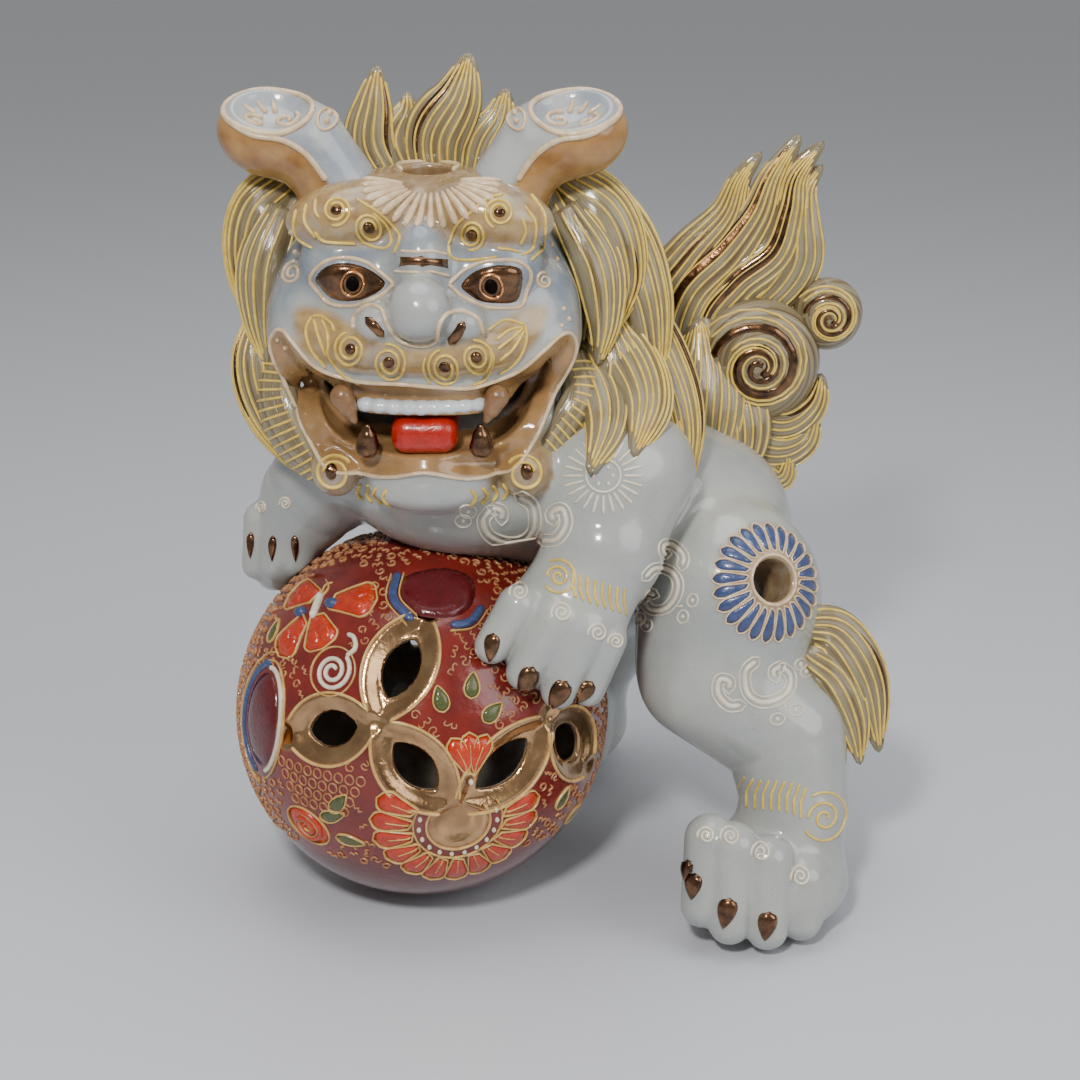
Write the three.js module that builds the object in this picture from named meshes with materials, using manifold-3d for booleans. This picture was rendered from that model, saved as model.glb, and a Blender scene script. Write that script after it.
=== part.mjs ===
// A porcelain guardian lion (foo dog) with its forepaws on an openwork ball, as the separate
// slip-cast pieces that a potter lutes together. Millimetres, +Z up, and -Y is the side the face
// looks to. The origin is on the standing surface, at the middle of the ball's flat foot.
import * as THREE from "three";
import { mergeVertices } from "three/addons/utils/BufferGeometryUtils.js";
import Module from "manifold-3d";

const wasm = await Module();
wasm.setup();
const { Manifold, Mesh } = wasm;

// ---------------------------------------------------------------- driving dimensions

const GAP = 0.5; // between pieces that meet, where the slip joint would be
const WALL = 4.5; // thickness of a cast wall
const BALL_RADIUS = 54;
const FOOT_FLAT = 1; // how much of the ball's foot is ground flat
const BALL_WALL = 4.5;
const WINDOW_SHARE = 0.86; // a petal window's length, as a share of the way between its two hubs
const WINDOW_WIDTH = 19;
const WINDOW_TAPER = 0.66; // the window's size at the inside of the wall, as a share
const HEAD_HALF_WIDTH = 42;
const MOUTH_WIDTH = 68;
const MOUTH_HEIGHT = 17;
const CROWN_HOLE_RADIUS = 6;
const HAUNCH_HOLE_RADIUS = 6.5;
const NECK_RADIUS = 16;
const EAR_ROOT = 25; // how far an ear's root is from the middle of the head
const EAR_LENGTH = 32;
const EAR_HALF_WIDTH = 11;
const FANG_LENGTH = 9;
const FANG_RADIUS = 3.2;
const TONGUE_HALF_WIDTH = 8.5;
const TAIL_THICKNESS = 16;
const LOCK_THICKNESS = 11;
const BODY_CELL = 9; // size of the facets on the large castings
const FACE_CELL = 7;
const SMALL_CELL = 5.5;
const TONGUE_CELL = 4;
const CAVITY_CELL = 12;
const SHORTEST_EDGE = 0.05;

// The petal windows' hubs on the front of the ball, as degrees round from -Y towards +X, and
// degrees above the equator. The back of the ball has the same set, half a turn on.
const HUBS = {
  left: [-42, 11],
  middle: [-11, 20],
  top: [6, 54],
  low: [12, -7],
  right: [46, 15],
  far: [66, -9],
};
const PETALS = [
  ["middle", "top"],
  ["middle", "left"],
  ["middle", "low"],
  ["low", "right"],
  ["right", "far"],
];

// ---------------------------------------------------------------- forms as distance fields

const add = (a, b) => a.map((v, i) => v + b[i]);
const sub = (a, b) => a.map((v, i) => v - b[i]);
const dot = (a, b) => a[0] * b[0] + a[1] * b[1] + a[2] * b[2];
const along = (a, b, t) => a.map((v, i) => v + (b[i] - v) * t);

const onBall = (direction, height) => {
  const scale = (BALL_RADIUS + height) / Math.hypot(...direction);
  return direction.map((v, i) => v * scale + BALL[i]);
};

// The middles of the main masses. The lion stands over the ball, with its rump and its hind feet
// to the ball's left and back.
const BALL = [0, 0, BALL_RADIUS - FOOT_FLAT];
const BALL_TOP = BALL[2] + BALL_RADIUS;
const HEAD = [3.5, -3, BALL_TOP + 65];
const CHEST = [10, 6, BALL_TOP + 23];
const RUMP = [BALL_RADIUS + 26, 30, BALL_TOP - 8];
const HAUNCH_LEFT = add(RUMP, [9, -29, -11]);
const HAUNCH_RIGHT = add(RUMP, [-18, 26, -11]);
const FOOT_LEFT = [BALL_RADIUS + 43, -31, 13];
const FOOT_RIGHT = [38, BALL_RADIUS + 20, 13];
const PAW_LEFT = onBall([0.6, -0.583, 0.55], 8);
const PAW_RIGHT = onBall([-0.64, 0.28, 0.71], 8);
const SCROLL = add(RUMP, [21, 16, 44]);

// An egg: an ellipsoid whose own axes are turned by Euler angles in degrees.
function egg(centre, radii, turn = [0, 0, 0]) {
  const angles = turn.map(THREE.MathUtils.degToRad);
  const back = new THREE.Matrix4().makeRotationFromEuler(new THREE.Euler(...angles)).transpose();
  const point = new THREE.Vector3();
  return (p) => {
    point.set(p[0] - centre[0], p[1] - centre[1], p[2] - centre[2]).applyMatrix4(back);
    const q = point.toArray();
    const outer = Math.hypot(q[0] / radii[0], q[1] / radii[1], q[2] / radii[2]);
    const slope = Math.hypot(q[0] / radii[0] ** 2, q[1] / radii[1] ** 2, q[2] / radii[2] ** 2);
    return slope < 1e-9 ? -Math.min(...radii) : (outer * (outer - 1)) / slope;
  };
}

// A limb: a round cone between each pair of stations, each station a point and a radius.
function limb(...stations) {
  const cones = stations.slice(1).map((end, i) => {
    const start = stations[i];
    const axis = sub(end.at, start.at);
    const length2 = dot(axis, axis);
    return (p) => {
      const t = Math.min(1, Math.max(0, dot(sub(p, start.at), axis) / length2));
      const nearest = along(start.at, end.at, t);
      return Math.hypot(...sub(p, nearest)) - (start.radius + (end.radius - start.radius) * t);
    };
  });
  return (p) => Math.min(...cones.map((cone) => cone(p)));
}
const station = (at, radius) => ({ at, radius });

// Forms pressed together like soft clay: softness is the width of the fillet.
function pressed(softness, ...forms) {
  return (p) =>
    forms.map((form) => form(p)).reduce((a, b) => {
      const h = Math.max(softness - Math.abs(a - b), 0) / softness;
      return Math.min(a, b) - (h * h * softness) / 4;
    });
}
const grown = (form, by) => (p) => form(p) - by;

// ---------------------------------------------------------------- fields and shapes to solids

const CORNERS = [0, 1, 2, 3, 4, 5, 6, 7].map((c) => [c & 1, (c >> 1) & 1, (c >> 2) & 1]);
const EDGES = CORNERS.flatMap((a, i) =>
  CORNERS.map((b, j) => [i, j, Math.hypot(...sub(a, b))])
    .filter(([, j, length]) => j > i && length === 1)
    .map(([, j]) => [i, j]),
);
const FIELD_LOW = [-90, -80, -20]; // the space in which forms are cast
const FIELD_HIGH = [160, 130, 260];

// Makes a solid of vertices and triangles, with its faces pointing out.
function bodyOf(vertices, triangles) {
  const made = new Manifold(
    new Mesh({
      numProp: 3,
      vertProperties: Float32Array.from(vertices),
      triVerts: Uint32Array.from(triangles),
    }),
  );
  if (made.volume() >= 0) return made;
  const turned = triangles.map((_, i) => triangles[i % 3 === 0 ? i : i % 3 === 1 ? i + 1 : i - 1]);
  return bodyOf(vertices, turned);
}

// Where two parts of a form meet only across a grid square's diagonal, the surface would touch
// itself along an edge. This puts the nearer of the two outer corners just inside the form.
function fillCrossings(value, stride, cell) {
  let filled = true;
  while (filled) {
    filled = false;
    for (let here = 0; here < value.length; here++) {
      for (const [u, v] of [[0, 1], [1, 2], [2, 0]]) {
        const square = [0, stride[u], stride[u] + stride[v], stride[v]].map((step) => here + step);
        const [a, b, c, d] = square.map((n) => value[n] < 0);
        if (a !== c || b !== d || a === b) continue;
        const outer = a ? [square[1], square[3]] : [square[0], square[2]];
        value[value[outer[0]] < value[outer[1]] ? outer[0] : outer[1]] = -cell / 20;
        filled = true;
      }
    }
  }
}

// Turns a form into a closed solid: one vertex in each grid cell that the surface crosses, and
// one square across each grid edge that crosses the surface.
function cast(form, cell) {
  const count = FIELD_LOW.map((v, i) => Math.ceil((FIELD_HIGH[i] - v) / cell) + 1);
  const stride = [1, count[0], count[0] * count[1]];
  const at = (i, j, k) => i + j * stride[1] + k * stride[2];
  const place = (i, j, k) => add(FIELD_LOW, [i * cell, j * cell, k * cell]);
  const value = new Float64Array(count[0] * count[1] * count[2]);
  for (let k = 0; k < count[2]; k++)
    for (let j = 0; j < count[1]; j++)
      for (let i = 0; i < count[0]; i++) value[at(i, j, k)] = form(place(i, j, k));
  fillCrossings(value, stride, cell);
  const vertices = [];
  const triangles = [];
  const vertexOf = new Int32Array(value.length).fill(-1);
  for (let k = 0; k < count[2] - 1; k++)
    for (let j = 0; j < count[1] - 1; j++)
      for (let i = 0; i < count[0] - 1; i++) {
        const corner = CORNERS.map(([a, b, c]) => value[at(i + a, j + b, k + c)]);
        const crossed = EDGES.filter(([a, b]) => corner[a] < 0 !== corner[b] < 0);
        if (!crossed.length) continue;
        const middle = crossed
          .map(([a, b]) => along(CORNERS[a], CORNERS[b], corner[a] / (corner[a] - corner[b])))
          .reduce(add)
          .map((v) => v / crossed.length);
        vertexOf[at(i, j, k)] = vertices.length / 3;
        vertices.push(...place(i + middle[0], j + middle[1], k + middle[2]));
      }
  for (let k = 1; k < count[2] - 1; k++)
    for (let j = 1; j < count[1] - 1; j++)
      for (let i = 1; i < count[0] - 1; i++) {
        const here = at(i, j, k);
        const inside = value[here] < 0;
        for (let axis = 0; axis < 3; axis++) {
          if (inside === value[here + stride[axis]] < 0) continue;
          const [u, v] = [stride[(axis + 1) % 3], stride[(axis + 2) % 3]];
          const ring = [here - u - v, here - v, here, here - u].map((n) => vertexOf[n]);
          const [a, b, c, d] = inside ? ring : ring.reverse();
          triangles.push(a, b, c, a, c, d);
        }
      }
  return bodyOf(vertices, triangles);
}

// A three.js geometry as a solid for joining and cutting.
function solid(geometry) {
  const bare = geometry.clone();
  bare.deleteAttribute("normal");
  bare.deleteAttribute("uv");
  const merged = mergeVertices(bare, 1e-3);
  return bodyOf([...merged.attributes.position.array], [...merged.index.array]);
}

// Cuts leave very short edges where an edge passes close to a vertex. This draws each of them
// together into one vertex, wherever that keeps the surface closed.
function withoutShortEdges(vertices, triangles) {
  const at = (v) => vertices.slice(3 * v, 3 * v + 3);
  let faces = [];
  for (let i = 0; i < triangles.length; i += 3) faces.push([...triangles.slice(i, i + 3)]);
  const isShort = ([a, b]) => a < b && Math.hypot(...sub([...at(a)], [...at(b)])) < SHORTEST_EDGE;
  const edgesOf = ([a, b, c]) => [[a, b], [b, c], [c, a]];
  const ringOf = (v) => new Set(faces.filter((face) => face.includes(v)).flat());
  for (const [a, b] of faces.flatMap(edgesOf).filter(isShort)) {
    const ring = ringOf(a);
    const shared = [...ringOf(b)].filter((v) => v !== a && v !== b && ring.has(v));
    if (!ring.has(b) || shared.length !== 2) continue;
    faces = faces
      .map((face) => face.map((v) => (v === b ? a : v)))
      .filter((face) => new Set(face).size === 3);
  }
  return faces.flat();
}

// A solid as a three.js geometry.
function geometryOf(made) {
  const { vertProperties, triVerts } = made.getMesh();
  return new THREE.BufferGeometry()
    .setAttribute("position", new THREE.BufferAttribute(vertProperties, 3))
    .setIndex(withoutShortEdges(vertProperties, triVerts));
}

// A round rod that starts at a point and runs in a direction.
function rod(start, direction, radius, length) {
  const turn = new THREE.Quaternion().setFromUnitVectors(
    new THREE.Vector3(0, 1, 0),
    new THREE.Vector3(...direction).normalize(),
  );
  const geometry = new THREE.CylinderGeometry(radius, radius, length, 20)
    .translate(0, length / 2, 0)
    .applyQuaternion(turn)
    .translate(...start);
  return solid(geometry);
}

const joined = (...solids) => solids.reduce((a, b) => a.add(b));
const largest = (made) => made.decompose().reduce((a, b) => (a.volume() > b.volume() ? a : b));

// The space below the standing surface, which every foot is ground flat to.
const SLAB = 60;
const underfoot = solid(new THREE.BoxGeometry(600, 600, SLAB).translate(0, 0, -SLAB / 2));

// ---------------------------------------------------------------- forms of the castings

const headForm = pressed(
  8,
  egg(add(HEAD, [0, 2, 6]), [HEAD_HALF_WIDTH, 38, 36]), // skull
  egg(add(HEAD, [0, -12, -23]), [HEAD_HALF_WIDTH - 7, 27, 18]), // jaw
  egg(add(HEAD, [0, -27, 2]), [27, 20, 12]), // muzzle
  egg(add(HEAD, [0.5, -42, 9]), [9, 9, 8]), // nose
  egg(add(HEAD, [-20, -25, 30]), [15, 11, 8], [0, 18, 0]), // right brow
  egg(add(HEAD, [20, -25, 30]), [15, 11, 8], [0, -18, 0]), // left brow
);

const torsoForm = pressed(
  16,
  egg(CHEST, [36, 34, 26]),
  limb(
    station(add(CHEST, [8, 8, 0]), 29),
    station(along(CHEST, RUMP, 0.54), 29),
    station(RUMP, 30),
  ),
  egg(add(HEAD, [6, 16, -26]), [24, 22, 26]), // neck
);

// A hind leg: haunch, folded knee, shank and foot. The knee is placed from the haunch, and the
// shank and the ankle from the foot.
const hindLegForm = ({ haunch, foot, knee, shank, ankle, turn }) =>
  pressed(
    9,
    egg(haunch, [27, 25, 29]),
    limb(
      station(add(haunch, knee), 19),
      station(add(foot, shank), 18.5),
      station(add(foot, ankle), 17),
    ),
    egg(foot, [25, 25, 17], [0, 0, turn]),
  );
const hindLeftForm = hindLegForm({
  haunch: HAUNCH_LEFT,
  foot: FOOT_LEFT,
  knee: [-7, -9, -20],
  shank: [8, 18, 39],
  ankle: [11, 9, 21],
  turn: 0,
});
const hindRightForm = hindLegForm({
  haunch: HAUNCH_RIGHT,
  foot: FOOT_RIGHT,
  knee: [-12, 6, -20],
  shank: [22, 0, 39],
  ankle: [14, 4, 21],
  turn: 20,
});

// The forelegs end in paws that lie on the ball.
const foreLeftForm = pressed(
  8,
  limb(
    station(add(CHEST, [43, -15, -1]), 22),
    station(add(CHEST, [41, -26, -19]), 17),
    station(add(PAW_LEFT, [6, 8, 9]), 15),
  ),
  egg(PAW_LEFT, [20, 14, 20], [-12, 0, 0]),
);
const foreRightForm = pressed(
  8,
  limb(station(add(CHEST, [-28, 4, 0]), 20), station(add(PAW_RIGHT, [9, -4, 17]), 15)),
  egg(PAW_RIGHT, [11, 16, 18], [0, 24, 0]),
);

// An ear: a spoon that leans out from its root, hollowed on top.
function earForm(side, extra) {
  const root = add(HEAD, [side * EAR_ROOT, -2, 37]);
  const tip = add(root, [side * EAR_LENGTH * 0.86, -1, EAR_LENGTH * 0.42]);
  const bowl = along(root, tip, 0.68);
  return pressed(
    5,
    limb(station(root, 9 + extra), station(along(root, tip, 0.5), 8 + extra)),
    egg(bowl, [EAR_LENGTH * 0.45 + extra, EAR_HALF_WIDTH + extra, 8 + extra], [0, side * 20, 0]),
  );
}

// ---------------------------------------------------------------- locks of hair

// A lock is a flame: an oval section swept along a curve, which swells from the root and closes
// to a point at the tip. across is the way that its flat face looks.
function lock(points, halfWidth, thickness, across, extra = 0) {
  const rings = 7;
  const sides = 8;
  const curve = new THREE.CatmullRomCurve3(points.map((p) => new THREE.Vector3(...p)));
  const flat = new THREE.Vector3(...across).normalize();
  const swell = (t) => Math.sqrt(1 - t) * (0.72 + 0.55 * Math.sin(Math.PI * t));
  const vertices = [];
  const triangles = [];
  for (let ring = 0; ring < rings; ring++) {
    const t = ring / rings;
    const tangent = curve.getTangent(t);
    const side = new THREE.Vector3().crossVectors(flat, tangent).normalize();
    const out = new THREE.Vector3().crossVectors(tangent, side);
    for (let s = 0; s < sides; s++) {
      const angle = (2 * Math.PI * s) / sides;
      const point = curve
        .getPoint(t)
        .addScaledVector(side, Math.cos(angle) * (halfWidth * swell(t) + extra))
        .addScaledVector(out, Math.sin(angle) * ((thickness / 2) * swell(t) + extra));
      vertices.push(...point.toArray());
    }
  }
  const rootVertex = rings * sides;
  const tipVertex = rootVertex + 1;
  const before = curve.getTangent(0).multiplyScalar(-extra);
  const beyond = curve.getTangent(1).multiplyScalar(extra);
  vertices.push(...curve.getPoint(0).add(before).toArray());
  vertices.push(...curve.getPoint(1).add(beyond).toArray());
  for (let s = 0; s < sides; s++) {
    const next = (s + 1) % sides;
    triangles.push(rootVertex, next, s);
    for (let a = s, b = next; a < rootVertex - sides; a += sides, b += sides) {
      triangles.push(a, b, b + sides, a, b + sides, a + sides);
    }
    triangles.push(rootVertex - sides + s, rootVertex - sides + next, tipVertex);
  }
  return bodyOf(vertices, triangles);
}

// A lock's curve: it starts at a place given from a mass, and each further point is a step on.
function strand(mass, start, ...steps) {
  const points = [add(mass, start)];
  for (const step of steps) points.push(add(points.at(-1), step));
  return points;
}

const TO_FRONT = [0, -1, 0];
const CHEEK = HEAD_HALF_WIDTH + 2; // where the mane runs down beside the face

const crestLock = (halfWidth, ...points) => [
  [strand(HEAD, ...points), halfWidth, LOCK_THICKNESS, TO_FRONT],
];

// The mane beside the face is one lock from ear to cheek and one from cheek to jaw. It starts
// beside the ear's root and lies on the chest under the jaw, whatever the width of the head.
const MANE_ROOT = EAR_ROOT + 11;
const MANE_LOW = 32; // how far out it lies on the chest
const maneLocks = (side, reach) => [
  [
    strand(
      HEAD,
      [side * MANE_ROOT, 9, 34],
      [side * (CHEEK + reach - MANE_ROOT), 0, -16],
      [side * 2, -1, -20],
      [side * -4, -1, -20],
    ),
    10,
    17,
    [side, -1, 0.3],
  ],
  [
    strand(
      HEAD,
      [side * (CHEEK - 3 + reach), 5, -4],
      [side * -1, -3, -18],
      [side * (MANE_LOW + 4 - CHEEK), -8, -15],
      [side * -16, -8, -8],
    ),
    10,
    15,
    [side, -1, 0],
  ],
];

const hockLocks = (foot, steps, across) => [[strand(foot, ...steps), 9, 9, across]];

const locks = {
  crest_flame_tall: crestLock(11, [5, 11, 31], [-1, 1, 13], [8, 1, 13], [1.5, 1, 12]),
  crest_flame_short: crestLock(9, [-9, 12, 31], [-4, 1, 11], [2, 0, 12], [-2, 1, 10]),
  crest_flame_low: crestLock(9, [13, 13, 30], [7, 1, 10], [10, 1, 7], [10, 0, 7]),
  mane_right: maneLocks(-1, 0),
  mane_left: maneLocks(1, 6),
  mane_cape: [
    [
      strand(HEAD, [CHEEK - 8, 17, 28], [18, 3, -20], [4, 0, -24], [6, -7, -28]),
      13,
      18,
      [1, -0.6, 0.3],
    ],
    [
      strand(CHEST, [40, 10, 40], [13, -4, -22], [9, -9, -18], [2, -6, -17]),
      12,
      14,
      [1, -0.6, 0.5],
    ],
  ],
  mane_back: [
    [strand(HEAD, [-3, 23, 34], [0, 14, -16], [6, 8, -22], [10, 4, -22]), 34, 26, [0, 1, 0.5]],
    [strand(CHEST, [10, 24, 52], [10, 6, -20], [12, 2, -14], [14, 2, -10]), 22, 18, [0, 1, 1]],
  ],
  tail_root: [
    [strand(RUMP, [6, 4, 20], [4, 6, 14], [2, 6, 16], [-4, 0, 16]), 17, TAIL_THICKNESS, TO_FRONT],
  ],
  tail_plume: [
    [
      strand(SCROLL, [-19, 2, 5], [2, 0, 24], [20, 1, 17], [8, 1, 26]),
      22,
      TAIL_THICKNESS,
      TO_FRONT,
    ],
  ],
  tail_lower_lock: [
    [
      strand(SCROLL, [-3, 1, -2], [16, 0, -8], [1, -1, -16], [-15, -6, -15]),
      15,
      TAIL_THICKNESS,
      TO_FRONT,
    ],
  ],
  hock_tuft_left: hockLocks(
    FOOT_LEFT,
    [[15, 21, 69], [9, 6, -6], [8, 0, -16], [2.5, -2, -16]],
    [0.4, -1, 0],
  ),
  hock_tuft_right: hockLocks(
    FOOT_RIGHT,
    [[28, 0, 69], [8, 10, -8], [6, 6, -14], [2, 2, -14]],
    [1, -0.3, 0],
  ),
};

// ---------------------------------------------------------------- the openwork ball

// A hub's direction from the middle of the ball; back turns it half a turn round.
function hub(name, back) {
  const [round, above] = HUBS[name].map(THREE.MathUtils.degToRad);
  const sign = back ? -1 : 1;
  return new THREE.Vector3(
    sign * Math.cos(above) * Math.sin(round),
    -sign * Math.cos(above) * Math.cos(round),
    Math.sin(above),
  );
}

// The cutter for a petal window: a pointed oval that narrows inwards through the wall.
function petal([from, to], back) {
  const [a, b] = [hub(from, back), hub(to, back)];
  const half = (a.angleTo(b) * BALL_RADIUS * WINDOW_SHARE) / 2;
  const outline = new THREE.Shape()
    .moveTo(-half, 0)
    .quadraticCurveTo(0, WINDOW_WIDTH, half, 0)
    .quadraticCurveTo(0, -WINDOW_WIDTH, -half, 0);
  const clear = 2.5; // how far the cutter stands out of the wall on both sides
  const depth = BALL_WALL + 2 * clear;
  const prism = new THREE.ExtrudeGeometry(outline, { depth, bevelEnabled: false, curveSegments: 6 });
  const position = prism.attributes.position;
  for (let i = 0; i < position.count; i++) {
    const size = THREE.MathUtils.lerp(WINDOW_TAPER, 1, position.getZ(i) / depth);
    position.setXY(i, position.getX(i) * size, position.getY(i) * size);
  }
  const out = a.clone().add(b).normalize();
  const lengthwise = b.clone().sub(a).normalize();
  const sideways = new THREE.Vector3().crossVectors(out, lengthwise);
  prism.applyMatrix4(new THREE.Matrix4().makeBasis(lengthwise, sideways, out));
  const start = out.multiplyScalar(BALL_RADIUS - BALL_WALL - clear);
  return solid(prism.translate(...add(BALL, start.toArray())));
}

function sphere(radius, around, along) {
  return solid(new THREE.SphereGeometry(radius, around, along).rotateX(Math.PI / 2).translate(...BALL));
}
const ballOutside = (extra) => sphere(BALL_RADIUS + extra, 32, 20);

// One cast half of the ball: below its equator, or above it.
function ballHalf(upper) {
  const windows = [false, true].flatMap((back) => PETALS.map((ends) => petal(ends, back)));
  const shell = ballOutside(0).subtract(sphere(BALL_RADIUS - BALL_WALL, 24, 14));
  const size = 4 * BALL_RADIUS;
  const other = new THREE.BoxGeometry(size, size, size).translate(
    BALL[0],
    BALL[1],
    BALL[2] + (upper ? -1 : 1) * (size / 2 - GAP / 2),
  );
  return largest([...windows, solid(other)].reduce((left, tool) => left.subtract(tool), shell));
}

// ---------------------------------------------------------------- head details

// The mouth: a wide smile whose corners turn up, cut from the front into the hollow head.
function mouthCutter(shrink) {
  const half = MOUTH_WIDTH / 2 - shrink;
  const top = 7 - shrink;
  const bottom = 7 - MOUTH_HEIGHT + shrink;
  const outline = new THREE.Shape()
    .moveTo(-half, 16 - shrink)
    .quadraticCurveTo(-half * 0.84, bottom + 4, -half * 0.52, bottom)
    .lineTo(half * 0.52, bottom)
    .quadraticCurveTo(half * 0.84, bottom + 4, half, 16 - shrink)
    .quadraticCurveTo(half * 0.62, top, half * 0.35, top - 5)
    .lineTo(-half * 0.35, top - 5)
    .quadraticCurveTo(-half * 0.62, top, -half, 16 - shrink);
  const depth = 50;
  const prism = new THREE.ExtrudeGeometry(outline, { depth, bevelEnabled: false, curveSegments: 5 });
  return solid(prism.rotateX(Math.PI / 2).translate(HEAD[0], HEAD[1] - 12, HEAD[2] - 19));
}

const crownHole = rod(add(HEAD, [1, -4, 20]), [0, -0.25, 1], CROWN_HOLE_RADIUS, 40);
const neckHole = rod(add(HEAD, [6, 12, -60]), [0, 0, 1], NECK_RADIUS, 55);

// How far the fangs stand from the middle of the mouth.
const UPPER_FANG_X = MOUTH_WIDTH * 0.28;
const LOWER_FANG_X = MOUTH_WIDTH * 0.22;

// A fang: a round tooth turned as one profile, with its point up or down.
function fang(x, z, direction) {
  const profile = [
    [0, -FANG_LENGTH / 2],
    [FANG_RADIUS, -FANG_LENGTH / 2],
    [FANG_RADIUS * 0.86, 0],
    [FANG_RADIUS * 0.4, FANG_LENGTH * 0.36],
    [0, FANG_LENGTH / 2],
  ].map(([r, height]) => new THREE.Vector2(r, height));
  const turned = new THREE.LatheGeometry(profile, 10).rotateX((direction * Math.PI) / 2);
  return solid(turned.translate(...add(HEAD, [x, -33, z])));
}

// The row of upper teeth: a curved bar under the upper lip, from fang to fang.
function teethRow() {
  const reach = UPPER_FANG_X - 2;
  const outline = new THREE.Shape()
    .moveTo(-reach, 6)
    .quadraticCurveTo(0, -6, reach, 6)
    .lineTo(reach, 10)
    .quadraticCurveTo(0, -2, -reach, 10);
  const bar = new THREE.ExtrudeGeometry(outline, { depth: 7, bevelEnabled: false, curveSegments: 8 });
  return solid(bar.translate(...add(HEAD, [0, -36, -18])));
}

// ---------------------------------------------------------------- the assembly

const glaze = new THREE.MeshStandardMaterial({ color: 0xd5d8d4, roughness: 0.15 });
const hair = new THREE.MeshStandardMaterial({ color: 0xa08a4e, roughness: 0.25 });
const redGlaze = new THREE.MeshStandardMaterial({ color: 0x7a1a17, roughness: 0.2 });
const tongueRed = new THREE.MeshStandardMaterial({ color: 0xd4281a, roughness: 0.25 });
const gilt = new THREE.MeshStandardMaterial({ color: 0xb5804a, roughness: 0.2, metalness: 1 });

const group = new THREE.Group();
const moulds = []; // the space that each finished piece and its joint gap take up

// Adds a piece, cut back from the pieces that came before it.
function place(name, material, body, mould) {
  const cut = [...moulds, underfoot].reduce((left, tool) => left.subtract(tool), body);
  const mesh = new THREE.Mesh(geometryOf(largest(cut)), material);
  mesh.name = name;
  group.add(mesh);
  if (mould) moulds.push(mould);
}

// A hollow casting of a form, with tools that open it.
function casting(form, cell, ...tools) {
  const shell = cast(form, cell).subtract(cast(grown(form, -WALL), CAVITY_CELL));
  return tools.reduce((left, tool) => left.subtract(tool), shell);
}

place("ball_lower_half", redGlaze, ballHalf(false));
place("ball_upper_half", redGlaze, ballHalf(true), ballOutside(GAP));

const headOutside = cast(grown(headForm, GAP), FACE_CELL);
const headShell = casting(headForm, FACE_CELL, mouthCutter(0), crownHole, neckHole);
place("head_shell", glaze, headShell, headOutside);

const haunchHole = rod(add(HAUNCH_LEFT, [0, 2, 2]), [0.5, -0.65, 0.5], HAUNCH_HOLE_RADIUS, 60);
const torsoShell = casting(torsoForm, BODY_CELL, neckHole);
place("torso_shell", glaze, torsoShell, cast(grown(torsoForm, GAP), BODY_CELL));

const limbs = {
  hind_leg_left: [hindLeftForm, haunchHole],
  hind_leg_right: [hindRightForm],
  foreleg_left: [foreLeftForm],
  foreleg_right: [foreRightForm],
};
for (const [name, [form, ...tools]] of Object.entries(limbs)) {
  place(name, glaze, casting(form, BODY_CELL, ...tools), cast(grown(form, GAP), BODY_CELL));
}

for (const [name, side] of [["ear_right", -1], ["ear_left", 1]]) {
  place(name, glaze, cast(earForm(side, 0), SMALL_CELL), cast(earForm(side, GAP), SMALL_CELL));
}

// The tail's two scrolls are thick rounded discs, so they are placed before the locks round them.
const scrolls = {
  tail_scroll_large: egg(SCROLL, [20, TAIL_THICKNESS * 0.62, 20]),
  tail_scroll_small: egg(add(SCROLL, [18, 5, 18]), [11, TAIL_THICKNESS * 0.5, 15], [0, 20, 0]),
};
for (const [name, form] of Object.entries(scrolls)) {
  place(name, hair, cast(form, SMALL_CELL), cast(grown(form, GAP), SMALL_CELL));
}

for (const [name, parts] of Object.entries(locks)) {
  const made = (extra) => joined(...parts.map((part) => lock(...part, extra)));
  place(name, hair, made(0), made(GAP));
}

// Pieces inside the mouth are cut by the head's wall, and not by its whole form.
const headWall = headOutside
  .subtract(cast(grown(headForm, -WALL - GAP), CAVITY_CELL))
  .subtract(mouthCutter(GAP));
moulds.length = 0;
moulds.push(headWall);
const tongueForm = egg(add(HEAD, [0.5, -26, -29]), [TONGUE_HALF_WIDTH, 13, 9], [-20, 0, 0]);
place("tongue", tongueRed, cast(tongueForm, TONGUE_CELL), cast(grown(tongueForm, GAP), TONGUE_CELL));
place("upper_teeth", glaze, teethRow(), teethRow());
for (const [name, side] of [["right", -1], ["left", 1]]) {
  place(`lower_fang_${name}`, gilt, fang(side * LOWER_FANG_X, -27, 1));
  place(`upper_fang_${name}`, gilt, fang(side * UPPER_FANG_X, -14, -1));
}

export default group;
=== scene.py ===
# A glazed porcelain guardian lion with raised enamel and bronze lustre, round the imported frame.
# Shapes are worked out in millimetres and turned into metres when a mesh is made. The lion faces
# -Y, and +X is its left side.
import math

import bpy
import numpy as np
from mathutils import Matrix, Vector
from mathutils.bvhtree import BVHTree


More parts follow.
